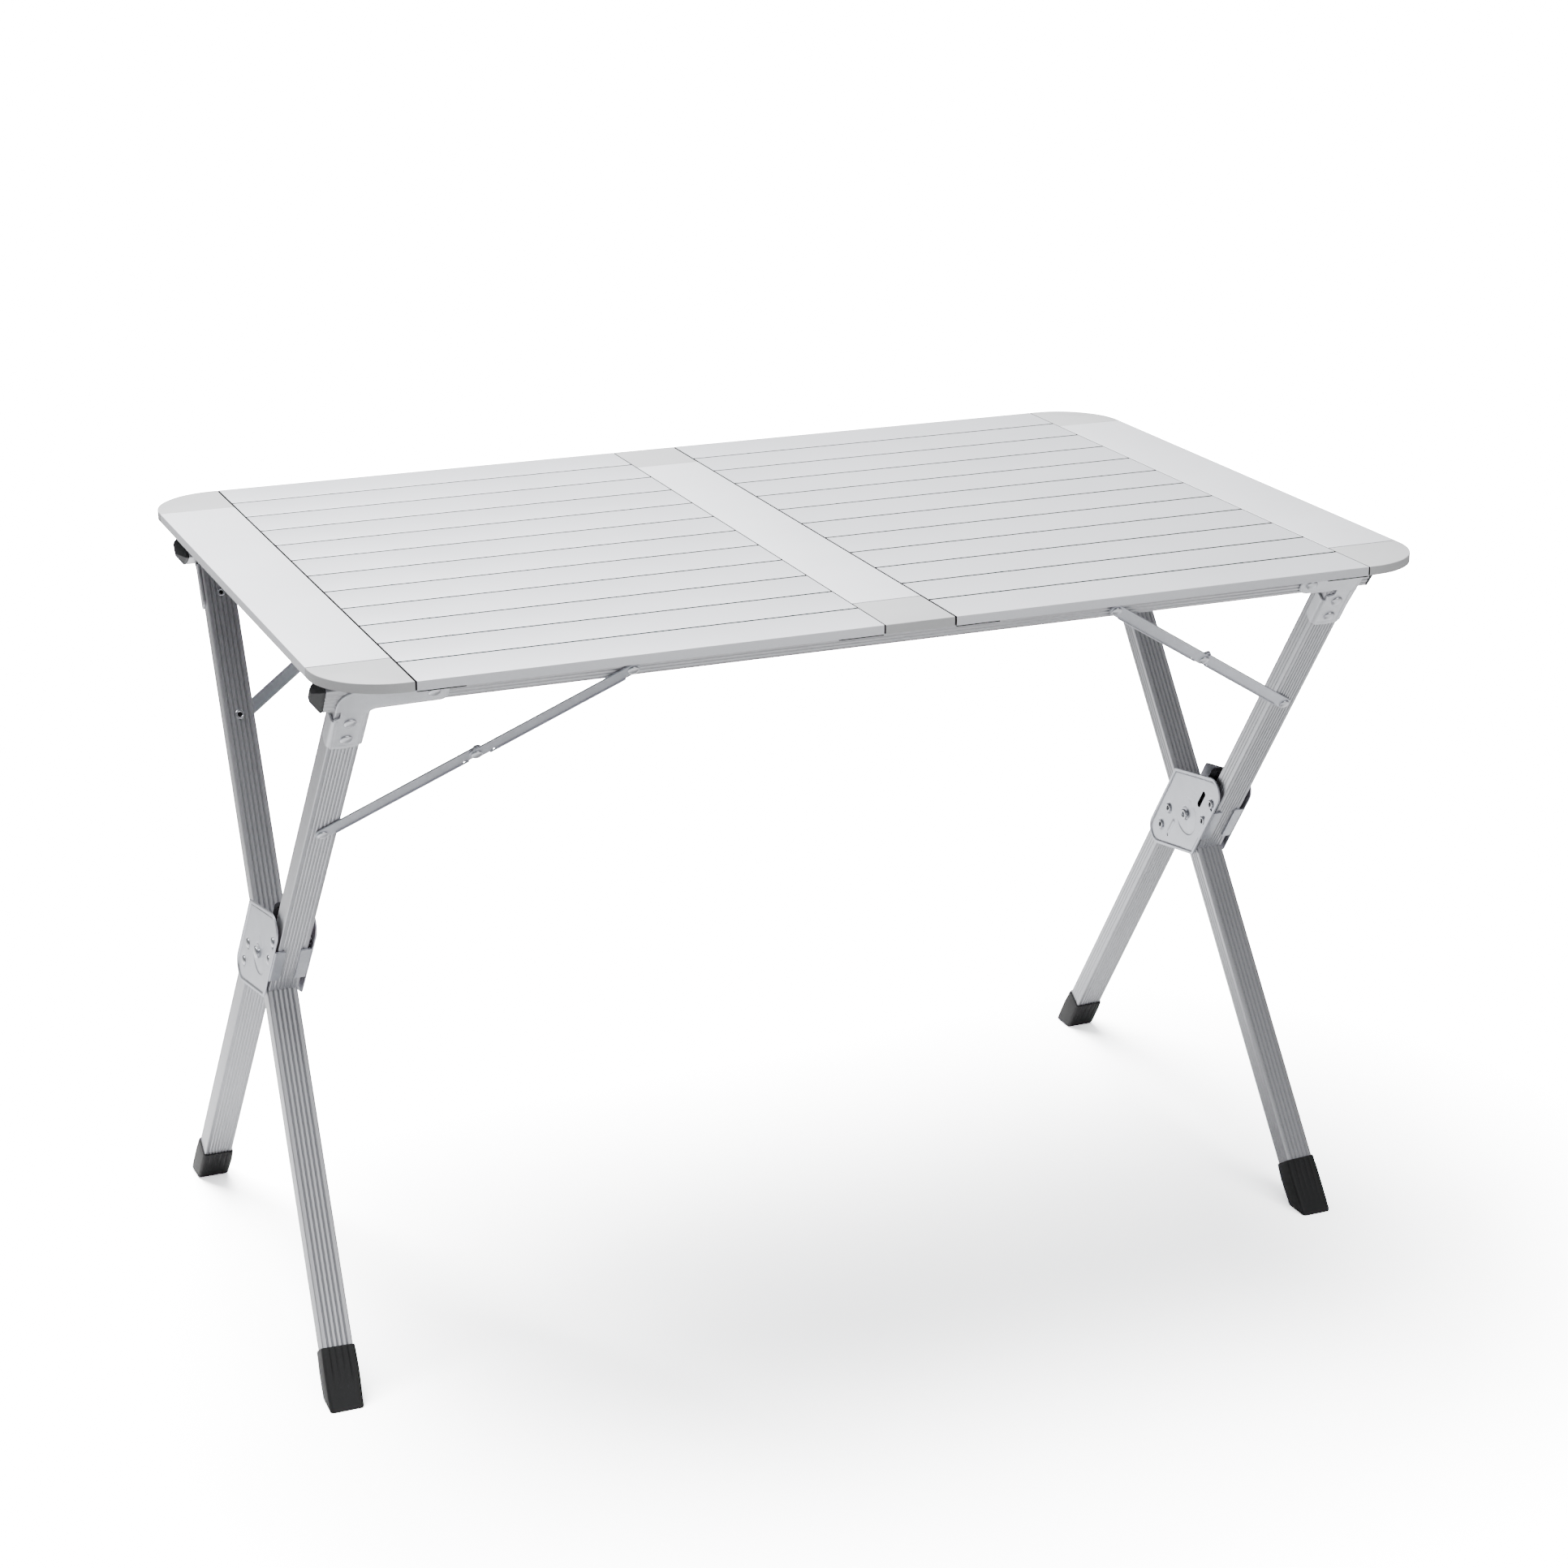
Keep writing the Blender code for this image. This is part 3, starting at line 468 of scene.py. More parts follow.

# %% [markdown]
# ## Strips and caps
# The end and centre strips run across the slats and hide their ends. Their grain runs front to back, so
# they take the light differently from the slats; that paler band is painted light, a lighter tint of the
# same anodised finish. The moulded caps close them:
# the corner caps are one quarter of a rounded outline, and their top edges draw in on a small arc.

# %% Strips
CAP_SEAM = 0.0009
strip_y = HALF_D - CAP_DEPTH - CAP_SEAM
for name, x0, x1, low0, low1 in (
    ("end_strip_left", -HALF_L, -HALF_L + STRIP_END, LIP_Z, LOW_Z),
    ("end_strip_right", HALF_L - STRIP_END, HALF_L, LOW_Z, LIP_Z),
    ("centre_strip", -STRIP_MID / 2, STRIP_MID / 2, LOW_Z, LOW_Z),
):
    section = channel_section(x0, x1, low0, low1)
    piece = add_mesh(f"{name}_skin", [carried(section, 1, -strip_y, strip_y)], STRIP_FINISH,
                     under=SHADE_BELOW_FINISH)
    dress(piece, "table_top", "strip_aluminium", name)
    # Black blocks in the seams between each strip and its caps: painted shade for the seam.
    seam_shades = [block(x0 + 0.0006, x1 - 0.0006, y - 0.0004, y + 0.0004, LIP_Z + 0.0004, TOP_Z - 0.0003)
               for y in (-strip_y - CAP_SEAM / 2, strip_y + CAP_SEAM / 2)]
    dress(add_mesh(f"cap_seams_{name}", seam_shades, DARK_FINISH), "table_top", "plug_plastic")
print("strips done")


# %% Caps
CAP_ROUND = 0.0010


def cap_rings(outline, steps=5):
    """Rings up the wall of a cap; near the top the outline shrinks towards its middle on a small arc."""
    outward = outline - outline.mean(axis=0)
    outward /= np.linalg.norm(outward, axis=1, keepdims=True)
    t = np.linspace(0, math.pi / 2, steps + 1)
    inset = np.concatenate([[0.0], CAP_ROUND * (1 - np.cos(t))])
    z = np.concatenate([[LIP_Z], TOP_Z - CAP_ROUND + CAP_ROUND * np.sin(t)])
    rings = np.zeros((len(z), len(outline), 3))
    rings[:, :, :2] = outline - inset[:, None, None] * outward
    rings[:, :, 2] = z[:, None]
    return rings


def corner_outline(side, face):
    """The corner cap from above: two straight seams and one long arc between the outer sides."""
    t = np.linspace(0, math.pi / 2, 29)
    ex = HALF_L - STRIP_END * 0.92 * (1 - np.sin(t))
    ey = HALF_D - CAP_DEPTH * 0.92 * (1 - np.cos(t))
    x, y = HALF_L - STRIP_END, HALF_D - CAP_DEPTH
    outline = np.concatenate([np.stack([ex, ey], axis=-1), [[HALF_L, y], [x, y], [x, HALF_D]]])
    return outline * np.array([side, face])


for face, face_name in ((-1, "front"), (1, "back")):
    y0, y1 = sorted((face * HALF_D, face * (HALF_D - CAP_DEPTH)))
    half = STRIP_MID / 2
    middle = rounded([(-half, y0), (half, y0), (half, y1), (-half, y1)], [0.0008] * 4, 3)
    corners = [(name, f"corner_cap_{face_name}_{name}", corner_outline(side, face)) for side, name in SIDES]
    for place_name, node, outline in (*corners, ("centre", f"centre_cap_{face_name}", middle)):
        piece = add_mesh(f"cap_{face_name}_{place_name}", [cap_rings(outline)], CAP_FINISH, smooth=50)
        dress(piece, "table_top", "cap_plastic", node)
print("caps done")

# %% [markdown]
# ## Ribbed extrusions
# Rails and legs are drawn from one flat oval-cornered section with five fine grooves on each wide face.
# The grooves are what the eye reads first on this table, so they are real relief here and not a bump:
# the wide face's height is a sum of narrow cosine valleys across the width. The narrow face that looks
# inwards carries three finer lines.

# %% Extruded section
GROOVE_PITCH = 0.0047
GROOVE_HALF = 0.0012
GROOVE_DEEP = 0.0013
CORNER_ROUND = 0.0011
FINE_PITCH, FINE_DEEP = 0.0042, 0.00045


def valley(x, centres, half, deep):
    """Sum of cosine valleys of the given half width and depth at the given centres."""
    gap = np.abs(x[:, None] - np.asarray(centres)[None])
    return (deep * 0.5 * (1 + np.cos(np.pi * np.clip(gap / half, 0, 1)))).sum(axis=1)


def ribbed_section(width, thick, fine_side=0, count=5, half=GROOVE_HALF, deep_cut=GROOVE_DEEP):
    """Outline of the extrusion: wide faces with valleys, round corners, plain or finely lined ends."""
    hw, ht, corner = width / 2, thick / 2, CORNER_ROUND
    centres = (np.arange(count) - (count - 1) / 2) * GROOVE_PITCH * 5 / count
    offsets = np.linspace(-1, 1, 9) * half
    x = np.sort(np.concatenate([(centres[:, None] + offsets[None]).ravel(), [-hw + corner, hw - corner]]))
    low = np.stack([x, -ht + valley(x, centres, half, deep_cut)], axis=-1)
    fine = (np.arange(3) - 1) * FINE_PITCH
    spots = (fine[:, None] + offsets[::2] * 0.7).ravel()
    y = np.sort(np.concatenate([spots, [-ht + corner, ht - corner]]))
    ends = []
    for sign in (1, -1):
        across = hw - valley(y, fine, half * 0.7, FINE_DEEP if fine_side == sign else 0.0)
        ends.append(np.stack([sign * across, y], axis=-1))
    return np.concatenate([
        low,
        arc(hw - corner, -ht + corner, corner, -math.pi / 2, 0, 4)[1:-1],
        ends[0],
        arc(hw - corner, ht - corner, corner, 0, math.pi / 2, 4)[1:-1],
        (low * np.array([1, -1]))[::-1],
        arc(-hw + corner, ht - corner, corner, math.pi / 2, math.pi, 4)[1:-1],
        ends[1][::-1],
        arc(-hw + corner, -ht + corner, corner, math.pi, 1.5 * math.pi, 4)[1:-1],
    ])


def cut_reach(axes, section, off, end):
    """Distance along the leg for each point of the section: a number, or where a plane cuts it."""
    if not isinstance(end, tuple):
        return np.full(len(section), float(end))
    spots = place(axes, section[:, 0], section[:, 1] + off, 0.0)
    point, normal = end
    return ((np.asarray(point) - spots) @ normal) / float(axes[3] @ normal)


def tube_rings(axes, section, off, low, high):
    """Outer skin, then the bore: four rings that close on themselves into a hollow tube."""
    shrink = 1 - WALL / np.abs(section).max(axis=0)
    rings = []
    for scale, end in ((1.0, low), (1.0, high), (shrink, high), (shrink, low)):
        part = section * scale
        rings.append(place(axes, part[:, 0], part[:, 1] + off, cut_reach(axes, part, off, end)))
    return np.stack(rings)


print("points in the leg's section:", len(ribbed_section(TUBE_W, TUBE_T)))

# %% Rails
for which, face_name in FACES:
    axes, off, reach, body = portal(which)[:4]
    rail_axes = (place(axes, 0.0, off, reach), axes[3], axes[2], -axes[1])
    rings = tube_rings(rail_axes, ribbed_section(RAIL_TALL, TUBE_T), 0.0, -RAIL_HALF, RAIL_HALF)
    piece = add_mesh(f"rail_{face_name}_ribbed", [rings], RAIL_FINISH, smooth=30, loop=True)
    dress(piece, body, "tube_aluminium", f"rail_{face_name}")
print("rails done")

# %% Legs
END_CLEAR = 0.0004
for side, side_name in SIDES:
    leg_a, leg_b = leg_axes(side, "A"), leg_axes(side, "B")
    shallow = ribbed_section(TUBE_W, TUBE_T, fine_side=-side, count=7, half=0.0008, deep_cut=0.0006)
    deep = ribbed_section(TUBE_W, TUBE_T, fine_side=-side)
    top_a = rail_reach("A") - RAIL_TALL / 2 - 0.0015
    top_b = rail_reach("B") - RAIL_TALL / 2 - 0.0015
    face_front = (place(leg_b, 0.0, OFF_B - TUBE_T / 2 - END_CLEAR, 0.0), leg_b[2])
    face_back = (place(leg_b, 0.0, OFF_B + TUBE_T / 2 + END_CLEAR, 0.0), leg_b[2])
    floor_cut = (np.array([0.0, 0.0, 0.0073]), np.array([0.0, 0.0, 1.0]))
    for name, axes, off, low, high, body in (
        (f"leg_front_upper_{side_name}", leg_a, OFF_A_TOP, face_front, top_a, "front_frame"),
        (f"leg_front_lower_{side_name}", leg_a, OFF_A_LOW, floor_cut, face_back, "front_frame"),
        (f"leg_back_{side_name}", leg_b, OFF_B, floor_cut, top_b, "back_frame"),
    ):
        rings = tube_rings(axes, deep if "back" in name else shallow, off, low, high)
        piece = add_mesh(f"{name}_ribbed", [rings], LEG_FINISH, smooth=30, loop=True)
        dress(piece, body, "tube_aluminium", name)
print("legs done")

# %% [markdown]
# ## Rail plugs
# A dark moulded plug closes each rail end. Its head is a block with all four sides sloping in, like a
# hipped roof, so it is a stack of shrinking rectangles. A wide bevel leaves the crisp but not sharp
# facets of a moulding.

# %% Plugs
plug_half = np.array([RAIL_TALL, TUBE_T]) / 2
HEAD = np.array([
    (-0.0100, 0.0028, 0.0028), (0.0, 0.0028, 0.0028), (0.0, 0.0, 0.0),
    (0.0026, 0.0, 0.0), (0.0085, 0.0058, 0.0052), (0.0110, 0.0080, 0.0074),
])
around = np.array([(-1, -1), (1, -1), (1, 1), (-1, 1)])
for which, face_name in FACES:
    axes, off, reach, body = portal(which)[:4]
    spread = (plug_half - HEAD[:, 1:])[:, None] * around
    for side, side_name in SIDES:
        x = side * (RAIL_HALF + GAP + HEAD[:, :1])
        rings = place(axes, x, off + spread[..., 1], reach + spread[..., 0])
        piece = add_mesh(f"plug_{face_name}_{side_name}_moulded", [rings], PLUG_FINISH, edge=0.0006)
        dress(piece, body, "plug_plastic", f"plug_{face_name}_{side_name}")
print("plugs done")

# %% [markdown]
# ## Boots
# A rubber boot covers each leg end. It follows the leg's slope but stands on a flat sole, so its lower
# rings are cut by the floor while its upper rings are square to the leg. The section is a rounded
# rectangle, and on the wide faces shallow valleys run from the rim downwards and fade out.

# %% Boot surface
def boot_rings(axes, off, side):
    """Rings of a rounded rectangle: height by a cut on the floor below, valleys fading out towards it."""
    outline = rounded([(-1, -1), (1, -1), (1, 1), (-1, 1)], [0.20] * 4, 4)
    extra = np.linspace(-0.78, 0.78, 33)
    face = np.stack([extra, np.full(33, -1.0)], axis=-1)
    order = np.concatenate([face, outline[5:15], -face, outline[15:], outline[:5]])
    hw, ht = BOOT_W / 2, BOOT_T / 2
    level = np.array([0.0, 0.0, 0.03, 0.08, 0.25, 0.45, 0.62, 0.80, 0.97, 1.0, 1.0])
    grow = np.array([0.84, 0.93, 0.975, 0.995, 1.0, 1.0, 1.0, 0.985, 0.965, 0.945, 0.90])
    grow_in = np.array([0.84, 0.90, 0.93, 0.945, 0.96, 0.985, 1.0, 0.985, 0.965, 0.945, 0.90])
    fade = np.clip((level - 0.30) / 0.35, 0, 1)[:, None]
    inner = order[:, 0] * side < 0
    width = np.where(inner[None], grow_in[:, None], grow[:, None]) * hw * order[:, 0][None]
    cut = valley(order[:, 0] * hw, np.array([-0.0093, -0.0031, 0.0031, 0.0093]), 0.0008, 0.0007)
    wide = np.abs(np.abs(order[:, 1]) - 1) < 1e-6
    depth = ht * grow[:, None] * order[:, 1][None] - np.sign(order[:, 1])[None] * fade * (cut * wide)[None]
    sole_z = np.array([0.0, 0.0, 0.0010, 0.0030])
    rings = np.zeros((len(level), len(order), 3))
    top_s = -place(axes, 0.0, off, 0.0)[2] / axes[3][2] + BOOT_LEN
    base = place(axes, width, depth + off, 0.0)
    floor_s = -base[..., 2] / axes[3][2]
    s = floor_s * (1 - level[:, None]) + top_s * level[:, None]
    s[:4] = (sole_z[:, None] - base[:4, :, 2]) / axes[3][2]
    rings[:] = base + s[..., None] * axes[3]
    return rings


for side, side_name in SIDES:
    for which, off, boot_name in (("B", OFF_B, "front"), ("A", OFF_A_LOW, "back")):
        rings = boot_rings(leg_axes(side, which), off, side)
        piece = add_mesh(f"boot_{boot_name}_{side_name}_moulded", [rings], BOOT_FINISH, smooth=42)
        body = "back_frame" if which == "B" else "front_frame"
        dress(piece, body, "boot_rubber", f"boot_{boot_name}_{side_name}")
print("boots done")

# %% [markdown]
# ## Rivets
# Every joint of a folding frame is a rivet. From outside one sees a low dome, and where the shank was
# spread on the far side a rolled rim round a dark hole. Both are profiles turned about the rivet's
# axis, so two short profile functions serve every rivet on the table.


# %% Rivet profiles
def dome(radius, height):
    """Profile of a domed head: a short collar, then a flattened quarter ellipse up to the crown."""
    t = np.linspace(0, math.pi / 2, 9)[:-1]
    top = np.stack([radius * np.cos(t), height * (0.22 + 0.78 * np.sin(t))], axis=-1)
    return np.concatenate([[[radius * 0.96, 0.0]], top, [[radius * 0.06, height]]])


def rolled(radius, height):
    """Profile of a spread shank: a rounded rim that turns back down into a shallow hole."""
    t = np.linspace(-math.pi / 2, math.pi, 11)
    rim = np.stack([radius * 0.72 + radius * 0.26 * np.cos(t), height * (0.5 + 0.5 * np.sin(t))], axis=-1)
    floor_z = -height * 0.2
    return np.concatenate([[[radius * 0.96, 0.0]], rim[2:], [[radius * 0.42, floor_z], [0.0002, floor_z]]])


def rivet(name, body, centre, axis, kind, radius, height):
    """One rivet head on a surface, its axis pointing away from the surface."""
    profile = dome(radius, height) if kind == "dome" else rolled(radius, height)
    piece = add_mesh(name, [turned(profile, centre, axis)], RIVET_FINISH, smooth=50)
    if kind == "rolled":
        # A black disc in the rolled end: painted shade for the hole inside it.
        pit = [(radius * 0.46, height * 0.05), (radius * 0.46, height * 0.55), (0.0002, height * 0.42)]
        dress(add_mesh(f"{name}_bore", [turned(pit, centre, axis, 20)], DARK_FINISH), body, "plug_plastic")
    return dress(piece, body, "rivet_steel")


print("rivet profiles ready")

# %% [markdown]
# ## Corner brackets
# A bracket is one pressing: an arm that lies on the rail, a broad rounded shoulder, and two wings that
# wrap the top of the leg. The face is a rounded outline with a raised bead just inside its edge. Each
# wing is a bent strip carried down the leg, with free ends that step back. The notch between arm and
# wing is cut with a Boolean, because a cut edge there is what the press tool leaves.

# %% Pressed face and bent channel
BEAD = 0.0004
PRESS_ROUND = 0.0006


def pressed_rings(axes, outline, low, out, thick):
    """Rings from the back of a pressing, round its edge, over a bead and on to its flat middle."""
    tangent = np.roll(outline, -1, 0) - np.roll(outline, 1, 0)
    normal = np.stack([tangent[:, 1], -tangent[:, 0]], axis=-1)
    normal /= np.linalg.norm(normal, axis=1, keepdims=True)
    normal *= np.sign(np.cross(outline, np.roll(outline, -1, 0)).sum())
    e = PRESS_ROUND
    inset = np.array([0.0004, 0.0, 0.0, e * 0.35, e, 0.0019, 0.0028, 0.0036])
    drop = np.array([e, e * 0.3, 0.0, 0.0, BEAD * 0.5, BEAD])
    level = np.concatenate([[0.0, 0.0003], thick - drop])
    ring = outline - inset[:, None, None] * normal
    return place(axes, ring[..., 0], low + out * level[:, None], ring[..., 1])


def bent_strip(points, radius, thick, steps=5):
    """A flat strip's cross section with round bends: the outer line, then the inner line back."""
    points = np.asarray(points, float)
    first, last = left_of(unit(points[1] - points[0])), left_of(unit(points[-1] - points[-2]))
    beside = list(zip(points[:-2], points[1:-1], points[2:]))
    lines = []
    for depth in (0.0, thick):
        bends = [corner_arc(*corner, radius, steps, depth) for corner in beside]
        lines.append(np.concatenate([[points[0] + first * depth], *bends, [points[-1] + last * depth]]))
    return np.concatenate([lines[0], lines[1][::-1]])


def punch(piece, cutters):
    """Cuts closed prisms through a pressing with an exact Boolean and keeps the result as its mesh."""
    knife = add_mesh("knife", cutters, STEEL_FINISH)
    step = piece.modifiers.new("cut", "BOOLEAN")
    step.object = knife
    step.solver = "EXACT"
    bpy.context.view_layer.update()
    shape = bpy.data.meshes.new_from_object(piece.evaluated_get(bpy.context.evaluated_depsgraph_get()))
    piece.modifiers.clear()
    piece.data = shape
    shape.shade_smooth()
    shape.set_sharp_from_angle(angle=math.radians(24))
    bpy.data.objects.remove(knife, do_unlink=True)


def wing_rings(leg, at, out, half, skin, web, s_free):
    """Rings of one wing: an L-shaped bent strip whose free edge steps back at both ends."""
    rings = []
    for s, depth in s_free:
        line = [(at * half, skin - out * depth), (at * half, web), (at * (half - 0.0065), web)]
        section = bent_strip(line if at == out else line[::-1], 0.0034, 0.0018)
        rings.append(place(leg, section[:, 0], section[:, 1], s))
    return np.stack(rings)


def leg_x(which, s):
    """Distance of the leg's centre line from the table's middle at a distance up the portal."""
    return PIVOT_X - SPLAY * math.cos(lean_of(which)[0]) * s


print("pressing helpers ready")


# %% Brackets
LEG_TOP = RAIL_TALL / 2 + 0.0015
BRACKET_HALF = TUBE_W / 2 + GAP + BRACKET_T


def bracket_outline(which, side, arm_x, long_arm):
    """Face of a bracket as (x, s): the leg part with a bowed foot, the shoulder and the arm."""
    reach = rail_reach(which)
    foot = reach - LEG_TOP - BRACKET_DROP
    foot_x, half = leg_x(which, foot), BRACKET_HALF - 0.0004
    low, high = reach - RAIL_TALL / 2 + 0.0010, reach + RAIL_TALL / 2 - 0.0015
    arm_end = arm_x - (0.0140 if long_arm else 0.0125)
    corners = [
        (foot_x - half + 0.0030, foot + 0.0012), (foot_x, foot), (foot_x + half - 0.0030, foot + 0.0012),
        (leg_x(which, high) + half + (0.0 if long_arm else 0.0020), high),
        (arm_end, high), (arm_end, low + 0.0005), (leg_x(which, low) - half + 0.0030, low - 0.0010),
    ]
    radii = [0.0022, 0.03, 0.0022] + ([0.019, 0.004, 0.007, 0.009] if long_arm else [
        0.0035, 0.0125, 0.0125, 0.0020])
    return even_outline(rounded(corners, radii, 8), 220) * np.array([side, 1.0])


def notch_prism(axes, which, side, long_arm, skin, out):
    """A round-bottomed notch between the arm and the wing, on the outer or the inner edge of the leg."""
    at, inward, outward, depth, rise = (
        (1, 0.0068, 0.0025, 0.0105, 0.0005) if long_arm else (-1, 0.0118, -0.0010, 0.0090, 0.0010))
    top = rail_reach(which) - RAIL_TALL / 2 + rise
    x0, x1 = sorted(leg_x(which, top) + at * (BRACKET_HALF + step) for step in (-inward, outward))
    hole = rounded([(x0, top - depth), (x1, top - depth), (x1, top), (x0, top)],
                   [0.0032, 0.0032, 0.0006, 0.0006]) * np.array([side, 1.0])
    return np.stack([place(axes, hole[:, 0], skin + out * level, hole[:, 1]) for level in (-0.004, 0.006)])


for which, face_name in FACES:
    axes, off, reach, body, out, skin = portal(which)
    s_top = reach - LEG_TOP
    low_end = s_top - BRACKET_DROP + 0.0045
    axis, surface = axes[2] * out, skin + out * (BRACKET_T - 0.0005)
    for side, side_name in SIDES:
        tag = f"{face_name}_{side_name}"
        long_arm = (side == -1) == (which == "A")
        arm_x = ARM_LONG_X if long_arm else ARM_SHORT_X
        outline = bracket_outline(which, side, arm_x, long_arm)
        face = add_mesh(f"bracket_{tag}_pressed", [pressed_rings(axes, outline, skin, out, BRACKET_T)],
                        BRACKET_FINISH, smooth=32)
        punch(face, [notch_prism(axes, which, side, long_arm, skin, out)])
        dress(face, body, "pressed_steel", f"bracket_{tag}")
        web, leg = skin + out * (BRACKET_T - 0.0001), leg_axes(side, which)
        wings = []
        for at in (-1, 1):
            high_end = s_top - (0.0120 if (at == side) == long_arm else 0.0020)
            ends = [(low_end, 0.0060), (low_end + 0.0015, 0.0100), (low_end + 0.0040, 0.0118),
                    (high_end - 0.0030, 0.0118), (high_end - 0.0010, 0.0105), (high_end, 0.0080)]
            wings.append(wing_rings(leg, at, out, BRACKET_HALF, skin, web, ends))
        dress(add_mesh(f"bracket_wings_{tag}", wings, BRACKET_FINISH, smooth=32), body, "pressed_steel",
              f"bracket_{tag}")
        head = turned(dome(0.0060, 0.0030), place(axes, side * arm_x, surface, reach), axis, 40)
        dress(add_mesh(f"arm_rivet_{tag}_domed", [head], RIVET_FINISH, smooth=50), body, "rivet_steel",
              f"arm_rivet_{tag}")
        for row, drop in ((1, 0.0150), (2, 0.0385)):
            s = s_top - drop
            x = side * leg_x(which, s)
            far = place(axes, x, off - out * TUBE_T / 2, s)
            rivet(f"leg_rivet_{row}_{tag}", body, place(axes, x, surface, s), axis, "dome", 0.0060, 0.0030)
            rivet(f"leg_rivet_{row}_end_{tag}", body, far, -axis, "rolled", 0.0042, 0.0016)
print("brackets done")

# %% [markdown]
# ## Folding braces
# Each brace is two flat bars that overlap at a middle rivet. A thin rib is folded up along each bar's
# upper edge to stiffen it, the lower edge has a shallow V near the middle, and a sprung tongue arches
# over the joint to hold the brace straight. The bars are stadium outlines with a softened edge.


# %% Brace bars
def bar_outline(start, end, half, notch_end):
    """A stadium round two centres whose lower edge has a shallow V beside one of them."""
    along = unit(end - start)
    across = left_of(along)
    t = np.linspace(-math.pi / 2, math.pi / 2, 19)
    bow = half * (np.cos(t)[:, None] * along + np.sin(t)[:, None] * across)
    base = start + along * 0.013 if notch_end == "start" else end - along * 0.018
    run = np.array([0.0, 0.0024, 0.0048])
    bite = base + run[:, None] * along - (half - np.array([0.0, 0.0022, 0.0]))[:, None] * across
    return np.concatenate([start - bow, bite, end + bow])


def lip_rings(axes, side, start, end, half, level, out):
    """A thin rib folded up along the upper edge of a bar: a small section carried between two points."""
    along = unit(end - start)
    section = np.array([(-1.3, -0.2), (0.0, -0.2), (0.0, 1.2), (-0.6, 1.7), (-1.3, 1.2)]) / 1000
    ends = np.array([start + along * 0.011, end - along * 0.011])
    spots = ends[:, None] + (half + section[:, :1]) * left_of(along)
    return place(axes, side * spots[..., 0], level + out * section[:, 1], spots[..., 1])


def tongue_rings(axes, side, centre, along, level, out):
    """A sprung loop over the middle joint: a flat strip section carried round half a circle."""
    t = np.linspace(-0.25, math.pi + 0.25, 17)[:, None, None]
    section = np.array([(-0.0005, 0.0), (0.0005, 0.0), (0.0005, 0.0034), (-0.0005, 0.0034)])
    r = 0.0034 + section[:, :1]
    spots = centre + r * (np.cos(t) * along + np.sin(t) * left_of(along))
    return place(axes, side * spots[..., 0], level + out * section[:, 1], spots[..., 1])


for which, face_name in FACES:
    axes, off, reach, body, out, skin = portal(which)
    leg_point = np.array([leg_x(which, BRACE_LEG_S), BRACE_LEG_S])
    rail_point = np.array([BRACE_RAIL_X, reach])
    mid_point = (leg_point + rail_point) / 2
    along = unit(leg_point - rail_point)
    hook = mid_point + left_of(along) * BRACE_W / 2 - along * 0.004
    high = 2 * BRACE_T + GAP
    for side, side_name in SIDES:
        tag = f"{face_name}_{side_name}"
        for kind, start, end, lift, notch in (("leg", mid_point, leg_point, 0.0, "start"),
                                              ("rail", rail_point, mid_point, BRACE_T + GAP, "end")):
            outline = bar_outline(start, end, BRACE_W / 2, notch) * np.array([side, 1.0])
            level = skin + out * np.array([[lift], [lift + BRACE_T]])
            bar = place(axes, outline[:, 0], level, outline[:, 1])
            dress(add_mesh(f"brace_{kind}_{tag}_bar", [bar], BRACE_FINISH, edge=0.0005), body,
                  "pressed_steel", f"brace_{kind}_{tag}")
            rib = lip_rings(axes, side, end, start, BRACE_W / 2, skin + out * (lift + BRACE_T), out)
            dress(add_mesh(f"brace_rib_{kind}_{tag}", [rib], BRACE_FINISH), body, "pressed_steel",
                  f"brace_{kind}_{tag}")
        loop = tongue_rings(axes, side, hook, along, skin + out * BRACE_T, out)
        dress(add_mesh(f"brace_tongue_{tag}", [loop], BRACE_FINISH), body, "pressed_steel",
              f"brace_rail_{tag}")
        axis = axes[2] * out
        for spot_name, point, lift in (("leg", leg_point, BRACE_T), ("mid", mid_point, high),
                                       ("rail", rail_point, high)):
            spot = place(axes, side * point[0], skin + out * lift, point[1])
            rivet(f"brace_rivet_{spot_name}_{tag}", body, spot, axis, "dome", 0.0054, 0.0026)
        far = place(axes, side * leg_point[0], off - out * TUBE_T / 2, leg_point[1])
        rivet(f"brace_rivet_end_{tag}", body, far, -axis, "rolled", 0.0050, 0.0016)
print("braces done")

# %% [markdown]
# ## Hinge plates
# The plates are the table's most worked pressings: a raised rim follows the edge, a shallow dish turns
# round the pivot, every rivet sits in a dimple, and a flange bends over the leg's front. The whole face
# is one height field. Rings run from the outline to the middle, and the height of a point comes from
# its distance to the edge, the pivot and the rivets, so any relief is one line of arithmetic.


# %% Plate face as a height field
def ridge(distance, half):
    """A cosine hump of height one, centred where the distance is zero."""
    return 0.5 * (1 + np.cos(np.pi * np.clip(np.abs(distance) / half, 0, 1)))


def to_edge(points, outline):
    """Shortest distance from each grid point to the outline's own points."""
    flat = points.reshape(-1, 2)
    gap = np.sqrt(((flat[:, None] - outline[None]) ** 2).sum(axis=-1)).min(axis=1)
    return gap.reshape(points.shape[:-1])

RIVET_ROWS = ((-0.0285, 0.0265), (-0.0285, 0.0570), (0.0285, -0.0265), (0.0285, -0.0570))
RIM_WIDTH, RIM_HIGH = 0.0032, 0.0010
DISH_RADIUS, DIMPLE_RADIUS = 0.0215, 0.0056


